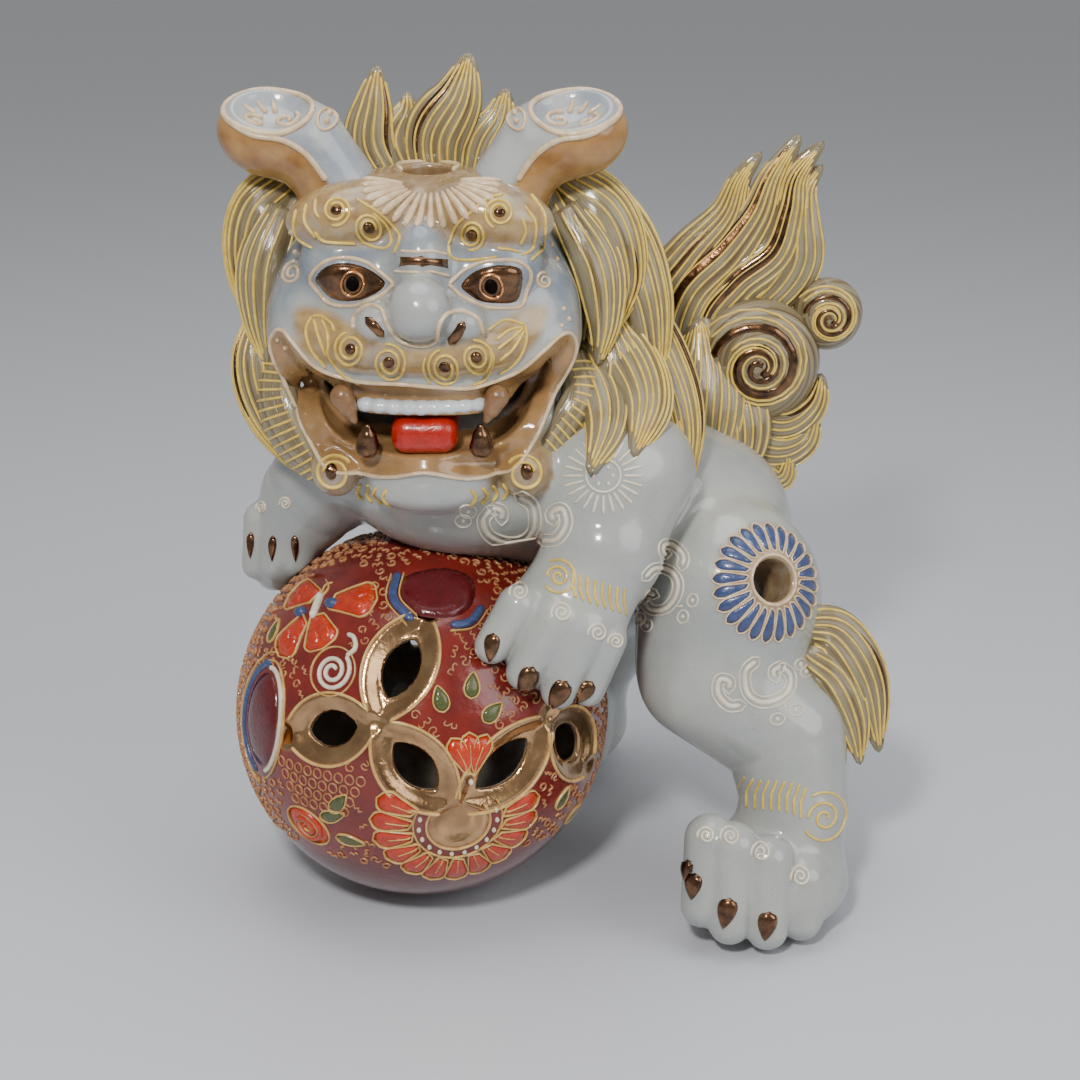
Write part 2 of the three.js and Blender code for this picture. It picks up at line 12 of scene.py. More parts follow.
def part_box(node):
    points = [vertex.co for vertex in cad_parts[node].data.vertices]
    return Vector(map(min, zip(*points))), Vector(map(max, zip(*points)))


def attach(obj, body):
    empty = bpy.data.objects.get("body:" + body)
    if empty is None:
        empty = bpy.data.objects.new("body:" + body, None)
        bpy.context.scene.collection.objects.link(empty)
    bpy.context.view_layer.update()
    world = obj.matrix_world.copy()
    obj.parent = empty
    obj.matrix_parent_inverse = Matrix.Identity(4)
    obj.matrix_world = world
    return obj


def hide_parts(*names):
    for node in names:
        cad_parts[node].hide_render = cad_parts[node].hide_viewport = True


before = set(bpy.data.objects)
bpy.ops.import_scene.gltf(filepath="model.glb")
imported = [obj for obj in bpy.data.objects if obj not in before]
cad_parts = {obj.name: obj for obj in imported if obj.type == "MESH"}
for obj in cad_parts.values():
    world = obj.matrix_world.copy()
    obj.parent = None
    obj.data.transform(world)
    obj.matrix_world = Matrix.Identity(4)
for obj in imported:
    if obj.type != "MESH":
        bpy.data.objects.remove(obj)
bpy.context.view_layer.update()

MM = 0.001
CELL = 1.0  # grid of the porcelain body
BALL_CELL = 0.8
FINE_CELL = 0.7  # grid of the ears, tongue, teeth and tail scrolls
SHELL = 0.8  # how thick the visible skins are


# ---------------------------------------------------------------- places, from the frame


def node_box(*nodes):
    boxes = [np.array(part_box(node)) / MM for node in nodes]
    return np.min([b[0] for b in boxes], axis=0), np.max([b[1] for b in boxes], axis=0)


def node_middle(*nodes):
    low, high = node_box(*nodes)
    return (low + high) / 2


ball_low, ball_high = node_box("ball_lower_half", "ball_upper_half")
BALL_RADIUS = (ball_high[0] - ball_low[0]) / 2
BALL = np.array([0.0, 0.0, ball_high[2] - BALL_RADIUS])
head_low, head_high = node_box("head_shell")
HEAD = np.array([(head_low[0] + head_high[0]) / 2, head_low[1] + 50.0, head_low[2] + 41.0])
CHEST = BALL + [10, 6, 77]
RUMP = BALL + [80, 30, 46]
HAUNCH_LEFT = RUMP + [9, -29, -11]
HAUNCH_RIGHT = RUMP + [-18, 26, -11]
FOOT_LEFT = BALL + [97, -31, -40]
FOOT_RIGHT = BALL + [38, 74, -40]
PAW_LEFT = BALL + [37, -36, 34]
PAW_RIGHT = BALL + [-41, 18, 45]
SCROLL = node_middle("tail_scroll_large")


def at(place, x, y, z):
    return place + np.array([x, y, z], dtype=float)


def unit(v):
    v = np.asarray(v, dtype=float)
    return v / np.linalg.norm(v, axis=-1, keepdims=True)


# ---------------------------------------------------------------- distance fields on a grid


def turning(turn):
    """The matrix of turns about X, Y and Z, in degrees."""
    x, y, z = np.radians(turn)
    rx = np.array([[1, 0, 0], [0, math.cos(x), -math.sin(x)], [0, math.sin(x), math.cos(x)]])
    ry = np.array([[math.cos(y), 0, math.sin(y)], [0, 1, 0], [-math.sin(y), 0, math.cos(y)]])
    rz = np.array([[math.cos(z), -math.sin(z), 0], [math.sin(z), math.cos(z), 0], [0, 0, 1]])
    return rx @ ry @ rz


def egg(p, centre, radii, turn=(0, 0, 0)):
    """Distance to an ellipsoid, close to true near its surface."""
    q = [p[i] - centre[i] for i in range(3)]
    if any(turn):
        back = turning(turn).T
        q = [back[i, 0] * q[0] + back[i, 1] * q[1] + back[i, 2] * q[2] for i in range(3)]
    outer = np.sqrt(sum((q[i] / radii[i]) ** 2 for i in range(3)))
    slope = np.sqrt(sum((q[i] / radii[i] ** 2) ** 2 for i in range(3)))
    return outer * (outer - 1) / np.maximum(slope, 1e-6)


def limb(p, *stations):
    """Distance to round cones between stations, each a place and a radius."""
    nearest = None
    for (a, ra), (b, rb) in zip(stations, stations[1:]):
        axis = np.asarray(b) - a
        t = sum((p[i] - a[i]) * axis[i] for i in range(3)) / float(axis @ axis)
        t = np.clip(t, 0, 1)
        away = np.sqrt(sum((p[i] - a[i] - t * axis[i]) ** 2 for i in range(3)))
        cone = away - (ra + (rb - ra) * t)
        nearest = cone if nearest is None else np.minimum(nearest, cone)
    return nearest


def pressed(softness, *forms):
    """Forms joined with a fillet, like soft clay."""
    made = forms[0]
    for form in forms[1:]:
        h = np.maximum(softness - np.abs(made - form), 0) / softness
        made = np.minimum(made, form) - h * h * softness / 4
    return made


def scooped(softness, form, tool):
    """A form with a tool cut out of it, its edge rounded."""
    return -pressed(softness, -form, tool)


class Grid:
    """A block of space on which distance fields are laid out."""

    def __init__(self, low, high, cell):
        self.low = np.asarray(low, dtype=np.float32)
        self.cell = cell
        counts = np.ceil((np.asarray(high) - low) / cell).astype(int) + 1
        axes = [(self.low[i] + cell * np.arange(counts[i])).astype(np.float32) for i in range(3)]
        self.p = np.meshgrid(*axes, indexing="ij", sparse=True)

    def sample(self, field, points):
        """The field at any points, in between the grid's own."""
        q = (points - self.low) / self.cell
        base = np.clip(np.floor(q).astype(int), 0, np.array(field.shape) - 2)
        f = q - base
        total = 0
        for corner in CORNERS:
            weight = np.prod(np.where(corner, f, 1 - f), axis=1)
            i, j, k = (base + corner).T
            total = total + weight * field[i, j, k]
        return total

    def gradient(self, field, points):
        step = self.cell * 0.75
        parts = []
        for axis in range(3):
            move = np.zeros(3)
            move[axis] = step
            ahead = self.sample(field, points + move)
            parts.append((ahead - self.sample(field, points - move)) / (2 * step))
        return np.stack(parts, axis=1)


CORNERS = np.array([[c & 1, c >> 1 & 1, c >> 2 & 1] for c in range(8)])
EDGES = [(a, b) for a in range(8) for b in range(a + 1, 8) if np.abs(CORNERS[a] - CORNERS[b]).sum() == 1]


def surface_of(grid, field):
    """The field's zero surface as vertices, unit normals and four-sided faces."""
    inside = field < 0
    shape = np.array(field.shape) - 1
    count = np.zeros(shape, dtype=np.int8)
    for i, j, k in CORNERS:
        count += inside[i : i + shape[0], j : j + shape[1], k : k + shape[2]]
    cells = np.argwhere((count > 0) & (count < 8))
    corner_values = [field[tuple((cells + c).T)] for c in CORNERS]
    total = np.zeros((len(cells), 3))
    hits = np.zeros(len(cells))
    for a, b in EDGES:
        va, vb = corner_values[a], corner_values[b]
        crossed = (va < 0) != (vb < 0)
        t = np.where(crossed, va / np.where(crossed, va - vb, 1), 0)
        total += np.where(crossed[:, None], CORNERS[a] + t[:, None] * (CORNERS[b] - CORNERS[a]), 0)
        hits += crossed
    vertices = grid.low + grid.cell * (cells + total / hits[:, None])
    number = np.full(shape, -1, dtype=np.int64)
    number[tuple(cells.T)] = np.arange(len(cells))
    faces = []
    core = inside[1:-1, 1:-1, 1:-1]
    for axis in range(3):
        ahead = np.roll(inside, -1, axis)[1:-1, 1:-1, 1:-1]
        edge = np.argwhere(core != ahead) + 1
        edge = edge[edge[:, axis] < shape[axis]]
        u, v = np.eye(3, dtype=int)[[(axis + 1) % 3, (axis + 2) % 3]]
        ring = np.stack([number[tuple((edge - s).T)] for s in (u + v, v, 0 * u, u)], axis=1)
        outward = inside[tuple(edge.T)]
        faces.append(np.where(outward[:, None], ring, ring[:, ::-1]))
    faces = np.concatenate(faces)
    for _ in range(2):  # onto the true surface
        slope = grid.gradient(field, vertices)
        steep = np.maximum((slope**2).sum(axis=1), 0.2)
        move = slope * (grid.sample(field, vertices) / steep)[:, None]
        vertices = vertices - np.clip(move, -grid.cell / 2, grid.cell / 2)
    return vertices, unit(grid.gradient(field, vertices) + 1e-9), faces


# ---------------------------------------------------------------- meshes and pieces


def make_mesh(name, vertices, faces, normals=None, masks=None):
    """A mesh object from arrays in millimetres. faces is an array, or a list of index lists."""
    mesh = bpy.data.meshes.new(name)
    if isinstance(faces, np.ndarray):
        sides = faces.shape[1]
        mesh.vertices.add(len(vertices))
        mesh.vertices.foreach_set("co", (np.asarray(vertices) * MM).astype(np.float32).ravel())
        mesh.loops.add(faces.size)
        mesh.loops.foreach_set("vertex_index", faces.astype(np.int32).ravel())
        mesh.polygons.add(len(faces))
        mesh.polygons.foreach_set("loop_start", np.arange(0, faces.size, sides, dtype=np.int32))
        mesh.update(calc_edges=True)
    else:
        mesh.from_pydata([tuple(v) for v in np.asarray(vertices) * MM], [], faces)
    mesh.validate()
    mesh.polygons.foreach_set("use_smooth", [True] * len(mesh.polygons))
    for mask, values in (masks or {}).items():
        mesh.attributes.new(mask, "FLOAT", "POINT").data.foreach_set("value", values.astype(np.float32))
    if normals is not None:
        mesh.normals_split_custom_set_from_vertices([tuple(n) for n in normals])
    mesh.update()
    made = bpy.data.objects.new(name, mesh)
    bpy.context.scene.collection.objects.link(made)
    return made


def dress(piece, material, slot, *nodes):
    """Gives a piece its material, hangs it under the root and hides the frame parts it stands for. slot is
    not used.
    """
    piece.data.materials.append(material)
    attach(piece, "root")
    if nodes:
        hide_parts(*nodes)


def skin_piece(name, vertices, normals, faces, masks):
    """A closed skin from part of a surface: the surface, the same some way in, and a rim."""
    used, faces = np.unique(faces, return_inverse=True)
    faces = faces.reshape(-1, 4)
    v, n = vertices[used], normals[used]
    count = len(used)
    sides = np.stack([faces, np.roll(faces, -1, axis=1)], axis=2).reshape(-1, 2)
    key = np.sort(sides, axis=1)
    key = key[:, 0] * count + key[:, 1]
    _, where, times = np.unique(key, return_index=True, return_counts=True)
    rim = sides[where[times == 1]]
    rim_faces = np.stack([rim[:, 1], rim[:, 0], rim[:, 0] + count, rim[:, 1] + count], axis=1)
    all_faces = np.concatenate([faces, faces[:, ::-1] + count, rim_faces])
    all_masks = {name: np.tile(values[used], 2) for name, values in masks.items()}
    both = np.concatenate([v, v - n * SHELL])
    return make_mesh(name, both, all_faces, np.concatenate([n, -n]), all_masks)


# ---------------------------------------------------------------- curves on a plane


def curve_through(points, steps=8, closed=False):
    """A smooth curve through points of any dimension (Catmull-Rom)."""
    p = np.asarray(points, dtype=float)
    if closed:
        p = np.concatenate([p[-1:], p, p[:2]])
    else:
        p = np.concatenate([[2 * p[0] - p[1]], p, [2 * p[-1] - p[-2]]])
    t = np.linspace(0, 1, steps, endpoint=False)[:, None]
    parts = []
    for a, b, c, d in zip(p, p[1:], p[2:], p[3:]):
        parts.append(
            0.5 * (2 * b + (c - a) * t + (2 * a - 5 * b + 4 * c - d) * t**2 + (3 * b - a - 3 * c + d) * t**3)
        )
    if not closed:
        parts.append(p[-2:-1])
    return np.concatenate(parts)


def outline_distance(x, z, outline):
    """Signed distance from places on a plane to a closed outline, negative inside it."""
    nearest, inside = np.inf, False
    for (ax, az), (bx, bz) in zip(outline, np.roll(outline, -1, axis=0)):
        ex, ez = bx - ax, bz - az
        t = np.clip(((x - ax) * ex + (z - az) * ez) / (ex * ex + ez * ez), 0, 1)
        nearest = np.minimum(nearest, (x - ax - t * ex) ** 2 + (z - az - t * ez) ** 2)
        crossing = (az > z) != (bz > z)
        inside = inside ^ (crossing & (x < ax + (z - az) * ex / (ez if ez else 1)))
    return np.where(inside, -1, 1) * np.sqrt(nearest)


def spiral(x, z, radius, turns, start=0.0, hand=1, inner=0.12):
    """A spiral from its outside in. start is its first angle in degrees, hand its sense."""
    t = np.linspace(0, 1, int(16 * turns) + 4)
    angle = math.radians(start) + hand * 2 * math.pi * turns * t
    r = radius * (1 - (1 - inner) * t**0.9)
    return np.stack([x + r * np.cos(angle), z + r * np.sin(angle)], axis=1)


def arc(x, z, radius, start, end, squash=1.0):
    angle = np.radians(np.linspace(start, end, max(5, int(abs(end - start) / 12))))
    return np.stack([x + radius * np.cos(angle), z + squash * radius * np.sin(angle)], axis=1)


def ramp(value, low, high):
    t = np.clip((value - low) / (high - low), 0, 1)
    return t * t * (3 - 2 * t)


# ---------------------------------------------------------------- the porcelain body

# The mouth, across and up from the middle of the head: the outer edge of the lip, and the opening.
MOUTH_RIM = curve_through(
    [
        (-38.5, 2), (-40, -4), (-34.5, -21), (-27, -33), (-18, -36), (-9, -35.5), (1, -33.5),
        (12, -36), (21, -36), (27, -31), (33, -20), (40, -6), (40, 0), (37, 2), (31, -2.5),
        (24, -8), (14, -11), (4, -10), (-6, -9), (-18, -9.5), (-27, -6.5), (-33, 0), (-36, 3),
    ],
    4,
    closed=True,
)
MOUTH_OPENING = curve_through(
    [
        (-31, -8), (-28, -19), (-21, -27.5), (-8, -29.5), (2, -29.5), (14, -29), (22, -26.5),
        (29, -18), (34, -5), (28, -13), (19, -18.5), (0, -18.5), (-17, -18.5), (-25, -15),
    ],
    4,
    closed=True,
)
CROWN_HOLE = at(HEAD, 1.2, -3, 40)
CROWN_HOLE_RADIUS = 6.3
HAUNCH_HOLE_RADIUS = 6.0
HAUNCH_OUT = unit([0.42, -0.75, 0.5])


# Lumps in pairs on the face: fillet, middle across, how far out, back and up, radii, and lean.
FACE_LUMPS = [
    (4, 0, 18.5, -22, 19, (13.5, 11.5, 8.5), -6),  # eyes
    (4, 0, 19, -23, 33, (16, 11, 8), 12),  # brows
    (2.5, 0.5, 10.5, -37.5, 8, (6.5, 7.5, 5.5), 28),  # nostrils
    (2, 1.5, 25.5, -21, -36.5, (7, 9, 8), 0),  # curls at the chin
]
LIP_DEPTH = 3.2  # how far the mouth's rim falls back towards the opening
LIP_GROOVE = 1.0


def head_form(p):
    x, y, z = (p[i] - HEAD[i] for i in range(3))
    form = pressed(
        7,
        egg(p, at(HEAD, 0, 2, 6), (40.5, 38, 34)),
        egg(p, at(HEAD, 0.5, -12, -23), (35, 27, 17)),
        egg(p, at(HEAD, -29, -13, 1), (13, 17, 17)),
        egg(p, at(HEAD, 29, -13, 1), (13, 17, 17)),
    )
    form = pressed(
        5,
        form,
        egg(p, at(HEAD, 0.5, -24, 1), (30, 19, 11)),
        egg(p, at(HEAD, 0.5, -30, 21), (7.5, 9, 11)),
        egg(p, at(HEAD, 1.2, -6, 33), (24, 20, 8.5)),
        egg(p, at(HEAD, 1.5, -23, -40), (17, 13, 8)),
    )
    for side in (-1, 1):
        for fillet, middle, out, back, up, radii, lean in FACE_LUMPS:
            lump = egg(p, at(HEAD, middle + side * out, back, up), radii, (0, side * lean, 0))
            form = pressed(fillet, form, lump)
    form = pressed(2.5, form, egg(p, at(HEAD, 0.5, -42.5, 12), (8.2, 8.5, 8.2)))
    front = ramp(-y, 4, 12)
    rim = outline_distance(x, z, MOUTH_RIM)
    form = form + front * (LIP_DEPTH * ramp(-rim, 0.5, 6.5) - LIP_GROOVE * np.exp(-((rim / 1.6) ** 2)))
    opening = np.maximum(outline_distance(x, z, MOUTH_OPENING), y + 13)
    hollow = pressed(2, opening, egg(p, at(HEAD, 0, -3, -12), (29, 25, 20)))
    return scooped(1.2, form, hollow)


def torso_form(p):
    return pressed(
        15,
        egg(p, CHEST, (36, 33, 26)),
        limb(p, (CHEST + [8, 8, 0], 29), (BALL + [48, 20, 65], 29), (RUMP, 30)),
        egg(p, at(HEAD, 6, 20, -29), (24, 20, 24)),
    )


def toes(p, paw, ends, radius):
    """Toes from their knuckles to their tips, each end a pair of places from the paw."""
    tip = radius * 0.86
    return pressed(0.7, *[limb(p, (at(paw, *a), radius), (at(paw, *b), tip)) for a, b in ends])


LEFT_TOES = [
    ((-8.5, -2, 14), (-15.5, -3, 2.5)),
    ((1, -4, 11), (-7, -5, -4.5)),
    ((9.5, -3, 7), (2.5, -5, -10)),
    ((15.5, 0, 3), (10.5, -1, -11)),
]
FOOT_TOES = [
    ((-15, -10, 19), (-17, -15.5, 1)),
    ((-8.5, -13, 18), (-9.5, -18, -3)),
    ((1, -13, 14), (1, -17.5, -5)),
    ((11.5, -10, 6), (11, -12.5, -5)),
]
FOOT_TOES_RIGHT = [
    ((-15, -9, 14), (-16, -15, -2)),
    ((-6, -13, 15), (-7, -18, -4)),
    ((4, -13, 14), (3.5, -17.5, -5)),
    ((13, -9, 11), (12.5, -13, -4)),
]
RIGHT_TOES = [
    ((-6, -3, 9), (-7.5, -6, -4)),
    ((0, -6, 9), (-2, -9, -3)),
    ((6, -7, 8), (4.5, -9, -2)),
]


def fore_left_form(p):
    arm = pressed(
        9,
        limb(p, (CHEST + [43, -15, -5], 21), (CHEST + [42, -27, -19], 17), (PAW_LEFT + [6, 8, 9], 14)),
        egg(p, CHEST + [42, -14, 1], (25, 20, 18.5)),
        egg(p, PAW_LEFT + [2, 4, 3], (17, 11, 16), (-12, 0, 0)),
    )
    return pressed(2, arm, toes(p, PAW_LEFT, LEFT_TOES, 5.7))


def fore_right_form(p):
    arm = pressed(
        8,
        limb(p, (CHEST + [-28, 4, 0], 20), (PAW_RIGHT + [9, -2, 16], 15)),
        egg(p, PAW_RIGHT + [1, 1, 1], (10, 14, 16), (0, 24, 0)),
    )
    return pressed(2, arm, toes(p, PAW_RIGHT, RIGHT_TOES, 5.2))


def hind_form(p, haunch, foot, knee, shank, ankle, foot_toes, turn):
    leg = pressed(
        10,
        egg(p, haunch, (27, 25, 29)),
        limb(p, (haunch + knee, 19.5), (foot + shank, 18), (foot + ankle, 15.5)),
        egg(p, foot + [3, 1, 1], (23, 20, 16), (0, 0, turn)),
    )
    return pressed(2, leg, toes(p, foot, foot_toes, 7.2))


def hind_left_form(p):
    offsets = np.array([-7, -9, -20]), np.array([8, 18, 39]), np.array([11, 9, 21])
    return hind_form(p, HAUNCH_LEFT, FOOT_LEFT, *offsets, FOOT_TOES, 0)


def hind_right_form(p):
    offsets = np.array([-12, 6, -20]), np.array([20, 0, 39]), np.array([12, 4, 21])
    return hind_form(p, HAUNCH_RIGHT, FOOT_RIGHT, *offsets, FOOT_TOES_RIGHT, 20)


BODY_PARTS = {
    "head_shell": head_form,
    "torso_shell": torso_form,
    "foreleg_left": fore_left_form,
    "foreleg_right": fore_right_form,
    "hind_leg_left": hind_left_form,
    "hind_leg_right": hind_right_form,
}


def rod_distance(p, start, direction, radius):
    """Distance to an endless round rod, but only on the side that direction points to."""
    q = [p[i] - start[i] for i in range(3)]
    along = sum(q[i] * direction[i] for i in range(3))
    away = np.sqrt(np.maximum(sum(v * v for v in q) - along * along, 0)) - radius
    return np.maximum(away, -along)


BODY_LOW, BODY_HIGH = np.array([-58, -62, -3]), np.array([136, 108, 222])
HIP_FILLET, SHOULDER_FILLET, NECK_FILLET = 7, 5, 4
BALL_CLEARANCE = 0.3
CREASE_REACH = 3.0  # how far round a vertex a crease is felt


def body_surface():
    """The whole body as one blended surface, with the part that owns each vertex."""
    grid = Grid(BODY_LOW, BODY_HIGH, CELL)
    p = grid.p
    forms = {name: make(p).astype(np.float32) for name, make in BODY_PARTS.items()}
    joined = pressed(HIP_FILLET, forms["torso_shell"], forms["hind_leg_left"], forms["hind_leg_right"])
    joined = pressed(SHOULDER_FILLET, joined, forms["foreleg_left"], forms["foreleg_right"])
    joined = pressed(NECK_FILLET, joined, forms["head_shell"])
    soft = joined
    crown_hole = rod_distance(p, CROWN_HOLE - [0, 0, 14], unit([0, -0.2, 1]), CROWN_HOLE_RADIUS)
    haunch_hole = rod_distance(p, HAUNCH_LEFT + 8 * HAUNCH_OUT, HAUNCH_OUT, HAUNCH_HOLE_RADIUS)
    for hole in (crown_hole, haunch_hole):
        joined = scooped(1.0, joined, hole)
    ball = np.sqrt(sum((p[i] - BALL[i]) ** 2 for i in range(3))) - BALL_RADIUS - BALL_CLEARANCE
    joined = np.maximum(joined, -ball)
    joined = np.maximum(joined, -p[2])
    vertices, normals, faces = surface_of(grid, joined)
    order = list(forms)
    near = np.stack([grid.sample(forms[name], vertices) for name in order], axis=1)
    owner = near.argmin(axis=1)
    steps = [CREASE_REACH * np.eye(3)[i] * s for i in range(3) for s in (-1, 1)]
    around = [grid.sample(soft, vertices + step) for step in steps]
    hollow = -np.mean(around, axis=0)  # above 0 in a crease, below on a crest
    return vertices, normals, faces, owner, order, hollow


# Where each washed colour and the painted shade lie on the body: an amount from 0 to 1 at every vertex.


def blot(points, middle, radii, soft=0.35):
    """1 inside an ellipsoid, fading out over its edge."""
    q = np.sqrt((((points - middle) / np.asarray(radii, dtype=float)) ** 2).sum(axis=1))
    return 1 - ramp(q, 1 - soft, 1 + soft)


def plane_blot(points, origin, outline, soft):
    """1 inside an outline drawn across and up from origin, on the side that faces -Y."""
    x, y, z = (points - origin).T
    amount = 1 - ramp(outline_distance(x, z, outline), -soft, soft)
    return amount * ramp(-y, 2, 10)


def body_masks(points, hollow, on_head):
    """How much of each colour lies at every point of the body."""
    x, y, z = (points - HEAD).T
    mouth = outline_distance(x, z, MOUTH_RIM)
    opening = outline_distance(x, z, MOUTH_OPENING)
    front = y < -6
    lip = front * (1 - ramp(mouth, -0.6, 0.5)) * (y > -70)
    # Painted shade: the inside of the hollow head and the mouth opening get dark colours, where shade falls.
    inside = on_head * blot(points, at(HEAD, 0, -2, -12), (29.5, 22, 19.5), 0.04)
    inside = np.maximum(inside, front * (opening < -2.5))
    blue = np.maximum.reduce(
        [blot(points, at(HEAD, s * 20, -28, 20), (19, 14, 9), 0.6) for s in (-1, 1)]
        + [blot(points, at(HEAD, s * 36, -12, 14), (11, 16, 17), 0.6) for s in (-1, 1)]
        + [blot(points, at(HEAD, 1, -30, 30), (11, 10, 7), 0.5)]
        + [0.55 * blot(points, at(HEAD, s * 13, -38, 15), (7, 8, 5), 0.6) for s in (-1, 1)]
    )
    tan = np.maximum.reduce(
        [plane_blot(points, at(HEAD, 0, 0, 0), MOUSTACHE, 1.5) * on_head]
        + [blot(points, at(HEAD, s * 19, -27, 35), (17, 14, 9.5), 0.2) for s in (-1, 1)]
        + [0.9 * on_head * blot(points, at(HEAD, s * 30, -15, -36), (17, 19, 12), 0.25) for s in (-1, 1)]
        + [blot(points, CROWN_HOLE - [0, 8, 4], (21, 19, 12), 0.12) * 0.9]
        + [blot(points, HAUNCH_LEFT + 26 * HAUNCH_OUT, (17, 17, 17), 0.1) * 0.8]
    )
    # Darker towards the bottom, within a few millimetres of the floor.
    sole = (1 - ramp(points[:, 2], 0.5, 4.5)) * 0.8
    # Painted shade: brown darkening in every crease, where the soft form dips in.
    crease_shade = ramp(hollow, 0.25, 1.4) * 0.7
    crown = 0.9 * blot(points, CROWN_HOLE - [0, 8, 5], (19, 18, 10), 0.3)
    return {
        "blue": blue * (1 - tan) * (1 - inside) * (1 - lip),
        "tan": tan * (1 - lip) * (1 - inside),
        "lip": np.maximum(lip * (1 - inside), 0),
        "inside": inside.astype(float),
        "stain_and_shade": np.maximum.reduce([crease_shade, sole, crown]) * (1 - inside),
    }


MOUSTACHE = curve_through(
    [(-32, 9), (-33, 3), (-30, -3), (-22, -6), (-10, -6), (1, -6.5), (14, -7.5), (24, -5), (31, 2),
     (33, 9), (27, 9), (20, 6), (12, 4), (2, 2), (-8, 3.5), (-16, 6), (-24, 9)],
    3,
    closed=True,
)


# ---------------------------------------------------------------- the openwork ball

# The petal windows' hubs on the front of the ball, as degrees round from -Y towards +X and degrees
# above the equator. The back has the same set, half a turn on.
HUBS = {
    "left": (-42, 11),
    "middle": (-11, 20),
    "top": (6, 54),
    "low": (12, -7),
    "right": (46, 15),
    "far": (66, -9),
}
PETALS = [("middle", "top"), ("middle", "left"), ("middle", "low"), ("low", "right"), ("right", "far")]
WINDOW_LENGTH = 1.02  # of the way between two hubs, for the gilt hollow round a window
WINDOW_HALF_WIDTH = 9.4
HOLE_SHARE = 0.54  # a window's hole, as a share of its gilt hollow
BALL_WALL = 4.5


def on_ball(round_angle, above, back=False):
    """A direction from the middle of the ball, from degrees round and degrees up."""
    a, b = math.radians(round_angle), math.radians(above)
    sign = -1 if back else 1
    return np.array([sign * math.cos(b) * math.sin(a), -sign * math.cos(b) * math.cos(a), math.sin(b)])


def petal_frames():
    """Each window's outward, lengthwise and sideways directions, and its half length."""
    for back in (False, True):
        for start, end in PETALS:
            a, b = on_ball(*HUBS[start], back), on_ball(*HUBS[end], back)
            out, lengthwise = unit(a + b), unit(b - a)
            reach = BALL_RADIUS * math.acos(a @ b) * WINDOW_LENGTH / 2
            yield out, lengthwise, np.cross(out, lengthwise), reach


def petal_distance(q, window, share=1.0):
    """Distance to a pointed oval on the ball; q is a place from the ball's middle."""
    out, lengthwise, sideways, reach = window
    forward = sum(q[i] * out[i] for i in range(3))
    u = BALL_RADIUS * np.arctan2(sum(q[i] * lengthwise[i] for i in range(3)), forward)
    v = BALL_RADIUS * np.arctan2(sum(q[i] * sideways[i] for i in range(3)), forward)
    length, width = reach * share, WINDOW_HALF_WIDTH * share
    bow = (length**2 + width**2) / (2 * width)
    return np.where(forward > 0, np.hypot(u, np.abs(v) + bow - width) - bow, 99.0)


def hub_distance(q, direction, radius):
    away = np.sqrt(sum((q[i] - BALL_RADIUS * direction[i]) ** 2 for i in range(3)))
    return away - radius


DISC = on_ball(13.5, -12)  # the gilt disc under the low hub
DISC_RADIUS = 8.2
HUB_RADIUS = 4.2


def gilt_distance(q):
    """Distance to the gilded part of the ball: windows, hubs and disc."""
    spots = [petal_distance(q, window) for window in petal_frames()]
    for back in (False, True):
        spots += [hub_distance(q, on_ball(*HUBS[name], back), HUB_RADIUS) for name in HUBS]
    spots.append(hub_distance(q, DISC, DISC_RADIUS))
    spots.append(hub_distance(q, DISC * [-1, -1, 1], DISC_RADIUS))
    return np.minimum.reduce(np.broadcast_arrays(*spots))


GILT_DEPTH = 2.4  # how deep the gilt hollows are dished
LOW_LINE = 26  # height of the plain, darker glaze at the ball's foot


def ball_surface():
    grid = Grid(BALL - BALL_RADIUS - 3, BALL + BALL_RADIUS + 3, BALL_CELL)
    q = [grid.p[i] - BALL[i] for i in range(3)]
    radius = np.sqrt(sum(v * v for v in q))
    outside = radius - BALL_RADIUS
    gilt = gilt_distance(q).astype(np.float32)
    skin = outside + GILT_DEPTH * ramp(-gilt, 0.0, 4.2)
    shell = scooped(0.8, skin, outside + BALL_WALL)
    for window in petal_frames():
        shell = scooped(0.8, shell, petal_distance(q, window, HOLE_SHARE))
    shell = np.maximum(shell, -grid.p[2])
    vertices, normals, faces = surface_of(grid, shell.astype(np.float32))
    away = np.linalg.norm(vertices - BALL, axis=1)
    gilt = gilt_distance(list((vertices - BALL).T))
    inner = BALL_RADIUS - BALL_WALL
    masks = {
        "gilt": 1 - ramp(gilt, -0.1, 0.5),
        "inside": 1 - ramp(away, inner + 0.6, inner + 1.6),
        "low": 1 - ramp(vertices[:, 2], LOW_LINE - 0.5, LOW_LINE + 1),
        "foot": 1 - ramp(vertices[:, 2], 0.6, 1.4),
    }
    return vertices, normals, faces, masks


# ---------------------------------------------------------------- ears and other small castings


def cast(low, high, form):
    """A closed piece from a form, in its own block of space."""
    grid = Grid(low, high, FINE_CELL)
    return surface_of(grid, form(grid.p).astype(np.float32))


# Where pale glaze meets amber on an ear: how high, for how far out from the middle of the head.
EAR_OUT = [20, 25, 30, 36, 44, 53]
EAR_HIGH = [36, 39, 46, 50, 51.5, 56]


def ear_tilt(side):
    return (27, side * -13, 0)


def ear_up(side):
    return turning(ear_tilt(side)) @ np.array([0, 0, 1])


def ear_middle(side):
    return at(HEAD, side * 40.5, -2, 50)


def ear_form(p, side):
    middle = ear_middle(side)
    ear = pressed(
        7,
        limb(p, (at(HEAD, side * 23.5, -1, 36), 11), (at(HEAD, side * 29.5, -1, 47.5), 9.5)),
        egg(p, middle, (14, 12, 11.5), ear_tilt(side)),
    )
    bowl = middle + 10.5 * ear_up(side) + [side * 1.5, 0, 0]
    ear = scooped(1.6, ear, egg(p, bowl, (10.5, 8.8, 6), ear_tilt(side)))
    skull = egg(p, at(HEAD, 0, 2, 6), (39, 36, 33))
    return np.maximum(ear, -skull)


# ---------------------------------------------------------------- locks of hair


